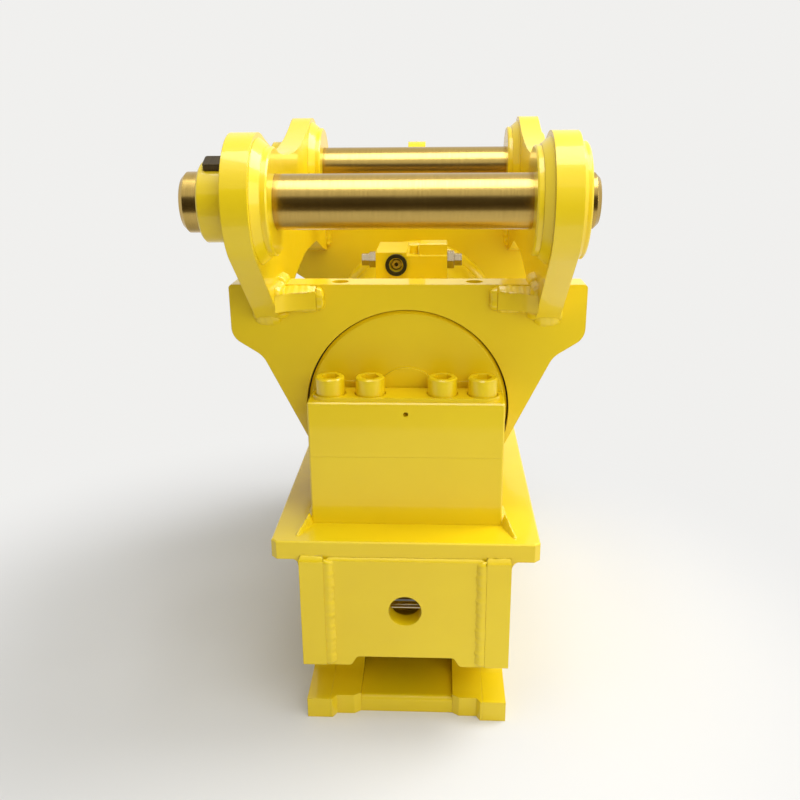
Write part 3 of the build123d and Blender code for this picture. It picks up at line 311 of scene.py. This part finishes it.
def yellow_paint():
    """Glossy enamel: two close yellows in broad patches, orange peel as relief."""
    material, tree, shader = new_material("yellow_paint")
    patches = noise(tree, PATCHES_A_METRE, detail=3.0)
    colour = ramp(tree, patches, (0.35, PAINT_FULL), (0.65, PAINT))
    tree.links.new(colour, shader.inputs["Base Color"])
    mist = noise(tree, MIST_A_METRE, detail=4.0)
    tree.links.new(value_range(tree, mist, *PAINT_ROUGHNESS), shader.inputs["Roughness"])
    shader.inputs["Specular IOR Level"].default_value = 0.4
    shader.inputs["Coat Weight"].default_value = 0.5
    shader.inputs["Coat Roughness"].default_value = 0.06
    bump(tree, shader, noise(tree, PEEL_A_METRE), PEEL_DEPTH, PAINT_ROUND)
    return material


paint = yellow_paint()
print("paint", len(paint.node_tree.nodes), "nodes")

# %% [markdown]
# ## Bare metals
#
# The pins are ground and plated, which leaves them a deep golden bronze with grain so fine that
# it only softens the reflections along the pin. The grain is noise squeezed along the pin, so
# that it changes quickly from one end to the other and hardly at all round the pin. The other
# metals are the same grain in other colours. Each has a lighter colour, a darker one for the
# marks, a roughness, and the direction across its marks.

# %% Bare metals
MARKS_A_METRE = 1500.0
CLOUDS_A_METRE = 25.0
MARK_DEPTH = 0.002 * MM
METAL_ROUND = 0.6 * MM
METAL_SPREAD = (0.85, 1.2)
MARKS_ALONG_X = (1.0, 0.03, 0.03)
MARKS_ALONG_Y = (0.03, 1.0, 0.03)
METALS = {
    "pin_steel": ((0.56, 0.385, 0.11), (0.48, 0.325, 0.085), 0.24, MARKS_ALONG_X),
    "machined_steel": ((0.56, 0.55, 0.52), (0.46, 0.45, 0.43), 0.3, MARKS_ALONG_Y),
    "bright_rod": ((0.93, 0.90, 0.82), (0.86, 0.83, 0.75), 0.2, MARKS_ALONG_X),
    "bronze": ((0.68, 0.44, 0.2), (0.56, 0.36, 0.16), 0.35, MARKS_ALONG_Y),
    "dark_fastener": ((0.10, 0.07, 0.03), (0.05, 0.038, 0.02), 0.38, MARKS_ALONG_X),
    "plated_steel": ((0.40, 0.32, 0.20), (0.30, 0.24, 0.15), 0.24, MARKS_ALONG_X),
}


def turned_metal(name, colour, dark, roughness, stretch):
    """Metal with fine tool marks in its colour and relief, and broad clouds in its gloss."""
    material, tree, shader = new_material(name)
    marks = noise(tree, MARKS_A_METRE, stretch=stretch)
    tree.links.new(ramp(tree, marks, (0.3, dark), (0.7, colour)), shader.inputs["Base Color"])
    shader.inputs["Metallic"].default_value = 1.0
    clouds = noise(tree, CLOUDS_A_METRE, detail=3.0)
    gloss = value_range(tree, clouds, *(roughness * share for share in METAL_SPREAD))
    tree.links.new(gloss, shader.inputs["Roughness"])
    bump(tree, shader, marks, MARK_DEPTH, METAL_ROUND)
    return material


finishes = {"yellow_paint": paint}
for metal, facts in METALS.items():
    finishes[metal] = turned_metal(metal, *facts)
print("metals", sorted(METALS))

# %% [markdown]
# ## Rubber and black oxide
#
# Seals are matt black with a little dust in them; the ring of the port is blackened steel. Both
# are dark and rough, and a fine noise keeps them from reading as holes.

# %% Dark finishes
DUST_A_METRE = 900.0
DUST_DEPTH = 0.05 * MM
DUST_TIMES, DUST_MORE = 1.8, 0.004
DUST_SPREAD = (0.8, 1.15)


def dark_finish(name, colour, metallic, roughness):
    """Dark surface with a fine dust in its colour, roughness and relief.

    The dust's colour is the dark one times a number, plus a little grey.
    """
    material, tree, shader = new_material(name)
    dust = noise(tree, DUST_A_METRE, detail=3.0)
    lighter = tuple(c * DUST_TIMES + DUST_MORE for c in colour)
    tree.links.new(ramp(tree, dust, (0.4, colour), (0.7, lighter)), shader.inputs["Base Color"])
    shader.inputs["Metallic"].default_value = metallic
    gloss = value_range(tree, dust, *(roughness * share for share in DUST_SPREAD))
    tree.links.new(gloss, shader.inputs["Roughness"])
    bump(tree, shader, dust, DUST_DEPTH)
    return material


finishes["seal_rubber"] = dark_finish("seal_rubber", (0.012, 0.012, 0.012), metallic=0.0, roughness=0.6)
finishes["port_black"] = dark_finish("port_black", (0.02, 0.02, 0.02), metallic=0.6, roughness=0.35)
print("finishes", len(finishes))

# %% [markdown]
# ## Handing the finishes to the nodes
#
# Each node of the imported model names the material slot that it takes. The drive's flanges are
# turned steel inside the housing, but the part of them that shows was sprayed with the rest of
# the machine, so those two nodes are painted here.

# %% Finishes on the nodes
PAINTED_OVER = ("tilt_shaft", "rear_end_cap")
for part in frame["record"]["subparts"]:
    node_name = part["node"]
    slot_name = "yellow_paint" if node_name in PAINTED_OVER else part["material_slot"]
    mesh = nodes[node_name].data
    mesh.materials.clear()
    mesh.materials.append(finishes[slot_name])

# %% [markdown]
# ## How a weld bead is drawn
#
# A bead fills the corner between two plates. Its toes lie on the plates, a leg away from the
# corner, and its face bulges a little between them. The welder lays it down drop by drop, which
# leaves scales a few millimetres apart, bent like fish scales because the middle of the pool
# freezes last. Each bead here is a grid of points, in millimetres: a row for nearly every
# millimetre of corner, and a few points across the face. The rows come first.

# %% Rows of a bead
BEAD_STEP = 0.9
FEWEST_STEPS = 6


def even_steps(path, values, closed):
    """The path at even steps, with each value that belongs to its points carried along.

    A point's reach is the sum of the spans before it. The steps share the whole reach evenly, and
    every coordinate and value is read between its two nearest points, in a straight line.
    """
    path = np.asarray(path, float)
    tables = [path] + [np.broadcast_to(value, (len(path), value.shape[1])) for value in values]
    if closed:
        tables = [np.vstack([table, table[:1]]) for table in tables]
    spans = np.linalg.norm(np.diff(tables[0], axis=0), axis=1)
    reach = np.concatenate([[0.0], np.cumsum(spans)])
    steps = max(int(reach[-1] / BEAD_STEP), FEWEST_STEPS)
    travel = np.linspace(0.0, reach[-1], steps + 1)
    if closed:
        travel = travel[:-1]
    carried = []
    for table in tables:
        carried.append(np.column_stack([np.interp(travel, reach, column) for column in table.T]))
    return travel, reach[-1], carried


print("a bead has a row for every", BEAD_STEP, "mm")

# %% [markdown]
# ## Fullness and scales
#
# A hand moves the torch, so a bead is a little fuller in some places than in others, and it
# comes to a round stop at its ends. Slow waves with a whole number of turns do this, so that a
# bead round a ring meets itself. The face's relief is one hump from toe to toe, with the scales
# riding on it.

# %% Fullness and scales
SWELL = 0.035
SWELL_WAVES = (31.0, 13.0, 7.0)
SWELL_PHASE = 6.28
END_LEAST = 0.02
HUMP_POWER = 1.5
DROP_LENGTH = 2.8
DROP_BEND = 0.55
DROP_POWER = 0.6


def fullness(travel, length, ends, closed, seed):
    """How full a bead is along its corner: one plus three slow sine waves, each with its own start.

    Towards an open end this shrinks as a circle does at its edge, by the square root of u times
    (2 - u), where u goes from nearly 0 at the end to 1 further in.
    """
    chance = np.random.default_rng(seed)
    turns = 2 * np.pi * travel / length
    waves = [(max(round(length / wave), 1), chance.uniform(0, SWELL_PHASE)) for wave in SWELL_WAVES]
    full = 1 + SWELL * sum(np.sin(count * turns + start) for count, start in waves)
    if not closed:
        u = np.clip(np.minimum(travel, length - travel) / ends, END_LEAST, 1.0)
        full = full * np.sqrt(u * (2 - u))
    return full[:, None]


def relief(travel, length, t, crown, scale):
    """How high the face stands at t, which goes from 0 at one toe to 1 at the other.

    It is the crown plus the scales, both times the hump. The hump is the sine of half a turn
    times t, to a power. The scales are the size of a sine that has one arch to a drop, to a
    power, and they run ahead in the middle of the face.
    """
    hump = np.sin(np.pi * t) ** HUMP_POWER
    drops = max(round(length / DROP_LENGTH), 2)
    phase = drops * (travel / length)[:, None, None] + DROP_BEND * hump
    scales = np.abs(np.sin(np.pi * phase)) ** DROP_POWER
    return crown[:, None] * hump + scale * scales * hump


print("drops", DROP_LENGTH, "mm apart")

# %% [markdown]
# ## The whole bead
#
# Two directions and two legs say where the toes lie, and a third direction says which way the
# face looks. The toes sink a little into the plates, so that no gap shows under them.

# %% Points of a bead
FACE_POINTS = 9
TOE_SINK = 0.4


def bead(path, ways, legs, out=None, crown=0.8, scale=0.35, ends=5.0, seed=0, closed=False):
    """Points of one bead: rows along its corner, columns across its face and one more at the root.

    A point is the corner, plus the first way times its leg times (1 - t), plus the second way
    times its leg times t, plus the relief towards out. All but the corner is times the fullness.

    The legs are one number for both ways or a pair. Each of them, and the crown, is a number or a
    list with one for each point of the path. A crown below zero makes the face hollow. Unless it
    is given, out is the sum of the two ways.
    """
    if not isinstance(legs, tuple):
        legs = (legs, legs)
    if out is None:
        out = np.asarray(ways[0], float) + np.asarray(ways[1], float)
    values = [np.atleast_2d(way) for way in (*ways, out)]
    values += [np.asarray(size, float).reshape(-1, 1) for size in (*legs, crown)]
    travel, length, carried = even_steps(path, values, closed)
    corner, way_a, way_b, out, leg_a, leg_b, crown = carried
    out = out / np.linalg.norm(out, axis=1, keepdims=True)
    full = fullness(travel, length, ends, closed, seed)
    t = np.linspace(0.0, 1.0, FACE_POINTS)[None, :, None]
    toes = (way_a * leg_a * full)[:, None], (way_b * leg_b * full)[:, None]
    grid = corner[:, None] + toes[0] * (1 - t) + toes[1] * t
    grid = grid + out[:, None] * full[:, None] * relief(travel, length, t, crown, scale)
    grid[:, [0, -1]] -= (out * TOE_SINK)[:, None]
    middle = FACE_POINTS // 2
    along = grid[1, middle] - grid[0, middle]
    across = grid[0, middle + 1] - grid[0, middle]
    if np.dot(np.cross(along, across), out[0]) < 0:
        grid = grid[:, ::-1]
    root = (corner - out * 2 * TOE_SINK)[:, None]
    return np.concatenate([grid, root], axis=1), closed


print("a bead has", FACE_POINTS, "points across its face")

# %% [markdown]
# ## From points to a piece
#
# All beads of a group become one mesh. Joining each column to the next, and the root back to
# the first toe, makes a closed tube, and the open ends get a small cap. The toes are marked
# sharp, so that the face keeps its smooth shading right up to the plates.

# %% Mesh of a group of beads
TOE_ANGLE = math.radians(60)


def weld(name, body, beads):
    """One painted piece of all the beads in a group, which moves with its body.

    A point's number in its grid is its row times the number of columns, plus its column. Each
    face joins two neighbouring rows and two neighbouring columns, and the last column's
    neighbour is the first.
    """
    points, faces, first = [], [], 0
    for grid, closed in beads:
        rows, columns = grid.shape[:2]
        points.append(grid.reshape(-1, 3) * MM)
        here = np.arange(rows if closed else rows - 1) * columns
        ahead = (here + columns) % (rows * columns)
        for column in range(columns):
            beside = (column + 1) % columns
            quads = np.column_stack([here + column, ahead + column, ahead + beside, here + beside])
            faces += (first + quads).tolist()
        if not closed:
            cap = first + np.arange(columns)
            faces += [cap.tolist(), (cap[::-1] + (rows - 1) * columns).tolist()]
        first += rows * columns
    mesh = bpy.data.meshes.new(name)
    mesh.from_pydata(np.concatenate(points).tolist(), [], faces)
    mesh.polygons.foreach_set("use_smooth", np.ones(len(mesh.polygons), bool))
    mesh.set_sharp_from_angle(angle=TOE_ANGLE)
    mesh.materials.append(paint)
    piece = add_object(name, mesh)
    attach(piece, body)
    print(name, len(mesh.polygons), "faces")


# %% [markdown]
# ## Where a bead runs
#
# Most beads follow a straight corner between two plates, whose place comes from the boxes of
# the CAD nodes. A bead may stop a little short of the corner's ends or run a little past them.
# The corner at the foot of a collar is a circle.

# %% Paths
RING_POINTS = 96
UP = np.array([0.0, 0.0, 1.0])
DOWN = -UP
BEHIND = np.array([0.0, 1.0, 0.0])
AHEAD = -BEHIND


def sideways(side):
    """Unit vector to the right for side 1 and to the left for side -1."""
    return np.array([float(side), 0.0, 0.0])


def box_mm(node):
    """Lowest and highest corner of a node, in millimetres."""
    low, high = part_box(node)
    return np.array(low) / MM, np.array(high) / MM


def line(start, end, short=(0.0, 0.0)):
    """Straight path that stops short of start and end by so many millimetres, or past them if below 0."""
    start, end = np.array(start, float), np.array(end, float)
    way = (end - start) / np.linalg.norm(end - start)
    return np.array([start + way * short[0], end - way * short[1]])


def ring_path(x, centre, radius):
    """Circle about an axis along X, and the outward direction at each of its points."""
    turn = np.linspace(0, 2 * np.pi, RING_POINTS, endpoint=False)
    outward = np.column_stack([np.zeros(RING_POINTS), np.cos(turn), np.sin(turn)])
    return np.array([x, *centre]) + radius * outward, outward


deck_low, deck_high = box_mm("carrier_top_plate")
print("deck", np.round(deck_high - deck_low, 1), "mm")

# %% [markdown]
# ## Beads of the bearing blocks
#
# The blocks are welded to the deck down both sides and across the back. Where a bead comes out
# at the block's face, it runs off in a ridge past the corner, tall at first and low at its tip.
# The ridge's start and tip are each given as a distance from the block's side and from its face.

# %% Beads of the bearing blocks
BLOCK_LEG = 7.0
BLOCK_BACK_LEG = 8.0
BACK_SHORT = (4.0, 4.0)
RIDGE_START = (2.5, 5.0)
RIDGE_TIP = (12.0, 30.0)
RIDGE_ACROSS = (0.94, 0.34)
RIDGE_LEGS = ([5.5, 3.5], [4.5, 2.5])
RIDGE_HEIGHTS = [11.0, 1.0]

deck_top = deck_high[2]
block_beads = []
for block_name, forward in (("front_block", 1), ("rear_block", -1)):
    low, high = box_mm(block_name)
    face_y, back_y = (low[1], high[1]) if forward > 0 else (high[1], low[1])
    for side in (-1, 1):
        x = side * high[0]
        flank = line((x, back_y, deck_top), (x, face_y, deck_top))
        block_beads.append(bead(flank, (sideways(side), UP), BLOCK_LEG,
                                scale=0.7, ends=4.0, seed=side + 5))
        start = (x + RIDGE_START[0] * side, face_y + RIDGE_START[1] * forward, deck_top)
        tip = (x + RIDGE_TIP[0] * side, face_y - RIDGE_TIP[1] * forward, deck_top)
        across = np.array([RIDGE_ACROSS[0], RIDGE_ACROSS[1] * side * forward, 0.0])
        block_beads.append(bead([start, tip], (across, -across), RIDGE_LEGS, out=UP,
                                crown=RIDGE_HEIGHTS, scale=0.8, ends=3.0, seed=side + 9))
    back = line((-high[0], back_y, deck_top), (high[0], back_y, deck_top), short=BACK_SHORT)
    block_beads.append(bead(back, (BEHIND * forward, UP), BLOCK_BACK_LEG, seed=3))
weld("weld_blocks", "carrier", block_beads)

# %% [markdown]
# ## Beads under the deck
#
# A wide hollow bead joins the deck to the outside of each side plate. On the front it ends in a
# heavy lump over the plate's top, whose upper toe lies on the deck's edge. Upright beads close
# the corners between the side plates and the front and rear cross plates, and one more runs
# under the deck along each cross plate.

# %% Beads under the deck
DECK_LEG = 9.0
DECK_HOLLOW = -1.8
LUMP_LEG = 7.8
LUMP_RISE = 5.0
LUMP_DOWN = [8.0, 9.5]
UPRIGHT_LEGS = (10.5, 3.0)
UPRIGHT_LEAN = 0.35
REAR_UPRIGHT_LEG = 8.0
UNDER_WAY = (0.0, 0.6, 0.8)
UNDER_LEGS = (4.5, 3.5)
UNDER_SHORT = (2.0, 2.0)
REAR_UNDER_LEG = 7.0

side_low, side_high = box_mm("right_side_plate")
cross_low = box_mm("front_cross_plate")[0]
rear_low, rear_high = box_mm("rear_cross_plate")
under_z, lump_y, cross_y, rear_y = deck_low[2], side_low[1], cross_low[1], rear_high[1]
to_edge = (0.0, (deck_low[1] - lump_y) / LUMP_LEG, LUMP_RISE / LUMP_LEG)

deck_beads = []
for side in (-1, 1):
    inner, outer = side * side_low[0], side * side_high[0]
    outward, inward = sideways(side), -sideways(side)
    seam = line((outer, deck_low[1], under_z), (outer, side_high[1], under_z), short=(1.0, 6.0))
    deck_beads.append(bead(seam, (DOWN, outward), DECK_LEG, crown=DECK_HOLLOW,
                           scale=0.25, ends=1.5, seed=side + 2))
    lump = line((inner, lump_y, under_z), (outer, lump_y, under_z), short=(-1.0, -0.5))
    deck_beads.append(bead(lump, (to_edge, DOWN), (LUMP_LEG, LUMP_DOWN), out=AHEAD, crown=0.9,
                           scale=0.3, ends=3.0, seed=side + 7))
    upright = line((inner, cross_y, cross_low[2]), (inner, cross_y, under_z), short=(1.0, -2.0))
    deck_beads.append(bead(upright, (inward, AHEAD), UPRIGHT_LEGS, out=AHEAD - UPRIGHT_LEAN * outward,
                           crown=1.5, scale=0.5, seed=side + 12))
    upright = line((inner, rear_y, rear_low[2]), (inner, rear_y, under_z), short=(2.0, 3.0))
    deck_beads.append(bead(upright, (inward, BEHIND), REAR_UPRIGHT_LEG, seed=side + 15))

inner = side_low[0]
under = line((-inner, cross_y, under_z), (inner, cross_y, under_z), short=UNDER_SHORT)
deck_beads.append(bead(under, (UNDER_WAY, DOWN), UNDER_LEGS, out=AHEAD, crown=0.7, seed=21))
under = line((-inner, rear_y, under_z), (inner, rear_y, under_z), short=UNDER_SHORT)
deck_beads.append(bead(under, (BEHIND, DOWN), REAR_UNDER_LEG, seed=22))
weld("weld_deck", "carrier", deck_beads)

# %% [markdown]
# ## The ears' feet
#
# Each ear stands on the front hanger plate with its foot in front of it. The foot's edge slants
# away from the plate's face: it starts at a tip low on the plate and stands further out the
# higher it goes. The beads up its flanks are as wide as the foot leaves room for, so they are
# worked out from how far it stands out.

# %% The ears' feet
TIP_Z = 378.1
TIP_LEGS = (6.0, 9.0)
EDGE_SLOPE = 1.247
EDGE_WAY = (0.0, -0.78, 0.626)
FOOT_SHARE = 0.8
OUTER_LEG = 4.0
INNER_LEG = 10.0

hanger_low, hanger_high = box_mm("front_hanger_plate")
back_low, back_high = box_mm("rear_hanger_plate")
ear_low, ear_high = box_mm("right_ear")
gusset_low, gusset_high = box_mm("right_gusset")
face_y, top_z = hanger_low[1], hanger_high[2]


def foot_leg(z, more, most):
    """Leg on the foot's flank at a height: a share of how far it stands out, and more, up to a limit.

    The foot stands out by the height above its tip times the slope of its edge.
    """
    return np.minimum((z - TIP_Z) * EDGE_SLOPE * FOOT_SHARE + more, most)


def foot_beads(side):
    """Beads round one ear's foot: over its tip, up its outer flank and up its inner flank."""
    inner, outer = side * ear_low[0], side * ear_high[0]
    tip = line((inner, face_y, TIP_Z), (outer, face_y, TIP_Z), short=(-1.0, -1.0))
    beads = [bead(tip, (DOWN, EDGE_WAY), TIP_LEGS, out=AHEAD, crown=0.6,
                  scale=0.15, ends=13.0, seed=side + 31)]
    z = np.linspace(TIP_Z + 1, top_z - 1, 8)
    flank = [(outer, face_y, height) for height in z]
    legs = (OUTER_LEG, foot_leg(z, more=0.0, most=4.0))
    beads.append(bead(flank, (sideways(side), AHEAD), legs, scale=0.2, seed=side + 33))
    z = np.linspace(TIP_Z + 1, gusset_low[2] + 1, 5)
    flank = [(inner, face_y, height) for height in z]
    legs = (INNER_LEG, foot_leg(z, more=2.0, most=9.0))
    beads.append(bead(flank, (-sideways(side), AHEAD), legs, ends=7.0, seed=side + 35))
    return beads


print("foot stands out", round((top_z - TIP_Z) * EDGE_SLOPE, 1), "mm at the plate's top")

# %% [markdown]
# ## Ears and gussets
#
# Heavy beads cross the top of the front plate on both sides of each ear, and others stand in
# the corners between the ears and the rear plate. The gusset stands a step lower than the front
# plate's top: a wide bead fills that step, a thick one closes its nose, a plain one lies below
# it, and beside the ear one climbs from the gusset to the plate's top.

# %% Beads of the ears
OVER_LEG = 8.0
HEEL_LEG = 7.0
HEEL_UP = 6.0
HEEL_BELOW_TOP = 105.0
CLIMB_LEGS = ([8.0, 8.0, 9.0], [9.0, 9.0, 6.0])
STEP_LEFT = 0.5
STEP_AHEAD = [6.0, 19.0]
UNDER_GUSSET_LEG = 4.5
NOSE_IN = 3.0
NOSE_LEG = 7.5
NOSE_CROWN = 2.6


def flank_beads(side):
    """Beads on both flanks of an ear: over the front plate's top, and down the rear plate's face."""
    beads = []
    for x, way in ((side * ear_low[0], -sideways(side)), (side * ear_high[0], sideways(side))):
        over = line((x, face_y, top_z), (x, hanger_high[1], top_z), short=(2.0, 1.0))
        beads.append(bead(over, (way, UP), OVER_LEG, scale=0.6, ends=3.0, seed=side + 37))
        heel_low, heel_high = gusset_low[2] + HEEL_UP, ear_high[2] - HEEL_BELOW_TOP
        heel = line((x, back_low[1], heel_low), (x, back_low[1], heel_high))
        beads.append(bead(heel, (way, AHEAD), HEEL_LEG, seed=side + 39))
    return beads


def gusset_beads(side):
    """Beads of one gusset: the climb beside the ear, the step, the underside and the nose."""
    inner, inward = side * ear_low[0], -sideways(side)
    low_z, high_z = gusset_low[2], gusset_high[2]
    climb = [(inner, gusset_low[1] + 1, high_z), (inner, face_y - 3, high_z + 1)]
    climb.append((inner, face_y + 5, top_z))
    beads = [bead(climb, (inward, UP), CLIMB_LEGS, scale=1.0, ends=8.0, seed=side + 41)]
    nose, root = side * (gusset_low[0] + NOSE_IN), side * gusset_high[0]
    step = line((nose, face_y, high_z), (root, face_y, high_z))
    legs = (top_z - high_z - STEP_LEFT, STEP_AHEAD)
    beads.append(bead(step, (UP, AHEAD), legs, crown=-0.3, scale=0.1, ends=3.0, seed=side + 43))
    under = line((nose, face_y, low_z), (root, face_y, low_z))
    beads.append(bead(under, (DOWN, AHEAD), UNDER_GUSSET_LEG, seed=side + 45))
    end = line((nose, face_y, low_z), (nose, face_y, high_z), short=(-2.0, -4.0))
    beads.append(bead(end, (inward, AHEAD), NOSE_LEG, crown=NOSE_CROWN,
                      scale=0.8, ends=6.0, seed=side + 47))
    return beads


ear_beads = []
for side in (-1, 1):
    ear_beads += foot_beads(side) + flank_beads(side) + gusset_beads(side)
weld("weld_ears", "head", ear_beads)

# %% [markdown]
# ## Collars and lug
#
# The collars stand on the left ear, each with a round bead at its foot, and the lifting lug on
# the rear hanger plate, with a plain bead along both sides.

# %% Beads of the collars and the lug
COLLAR_LEG = 4.5
LUG_LEG = 6.0

ring_beads = []
outside = sideways(-1)
for end_name in ("front", "rear"):
    low, high = box_mm(f"{end_name}_collar")
    path, outward = ring_path(-ear_high[0], (low[1:] + high[1:]) / 2, (high[1] - low[1]) / 2)
    ring_beads.append(bead(path, (outward, outside), COLLAR_LEG, seed=51, closed=True))
low, high = box_mm("lifting_lug")
for side in (-1, 1):
    x = side * high[0]
    foot = line((x, back_low[1], back_high[2]), (x, back_high[1], back_high[2]), short=(1.0, 1.0))
    ring_beads.append(bead(foot, (sideways(side), UP), LUG_LEG, ends=3.0, seed=side + 54))
weld("weld_rings", "head", ring_beads)

# %% [markdown]
# ## Floor
#
# The machine stands on a sheet of pale paper so large that its edge is never seen. Near the
# machine the paper takes a soft shadow. Further out it fades into the colour of the background,
# so no horizon shows from any side. Here too the pale colour is only for the camera and for
# mirrors: to the machine the sheet is ordinary paper.

# %% Floor
FLOOR_HALF = 30.0
PAPER = (0.70, 0.69, 0.668, 1.0)
FADE_CENTRE = (-0.10, 0.08, 0.0)
FADE_START = 0.30
FADE_END = 0.76
FADE_LEAST = 0.12

floor_mesh = bpy.data.meshes.new("floor")
corners = np.array([(-1, -1), (1, -1), (1, 1), (-1, 1)], float) * FLOOR_HALF
floor_points = np.column_stack([corners, np.full(4, cad_low.z)])
floor_mesh.from_pydata(floor_points.tolist(), [], [(0, 1, 2, 3)])
floor = add_object("floor", floor_mesh)

paper, tree, shader = new_material("paper")
shader.inputs["Base Color"].default_value = PAPER
shader.inputs["Roughness"].default_value = 0.9
shader.inputs["Specular IOR Level"].default_value = 0.2
place = add_node(tree, "TexCoord")
distance = add_node(tree, "VectorMath", operation="DISTANCE")
distance.inputs[1].default_value = FADE_CENTRE
tree.links.new(place.outputs["Object"], distance.inputs[0])
fade = add_node(tree, "MapRange", interpolation_type="SMOOTHSTEP")
fade.inputs["From Min"].default_value = FADE_START
fade.inputs["From Max"].default_value = FADE_END
fade.inputs["To Min"].default_value = FADE_LEAST
tree.links.new(distance.outputs["Value"], fade.inputs["Value"])
seen_fade = add_node(tree, "Math", operation="MULTIPLY")
tree.links.new(fade.outputs["Result"], seen_fade.inputs[0])
tree.links.new(background_rays(tree), seen_fade.inputs[1])
glow = add_node(tree, "Emission", Color=BACKGROUND, Strength=1.0)
blend = add_node(tree, "MixShader")
tree.links.new(seen_fade.outputs["Value"], blend.inputs["Fac"])
tree.links.new(shader.outputs["BSDF"], blend.inputs[1])
tree.links.new(glow.outputs["Emission"], blend.inputs[2])
tree.links.new(blend.outputs["Shader"], tree.nodes["Material Output"].inputs["Surface"])
floor_mesh.materials.append(paper)
print("floor at", round(cad_low.z, 4))
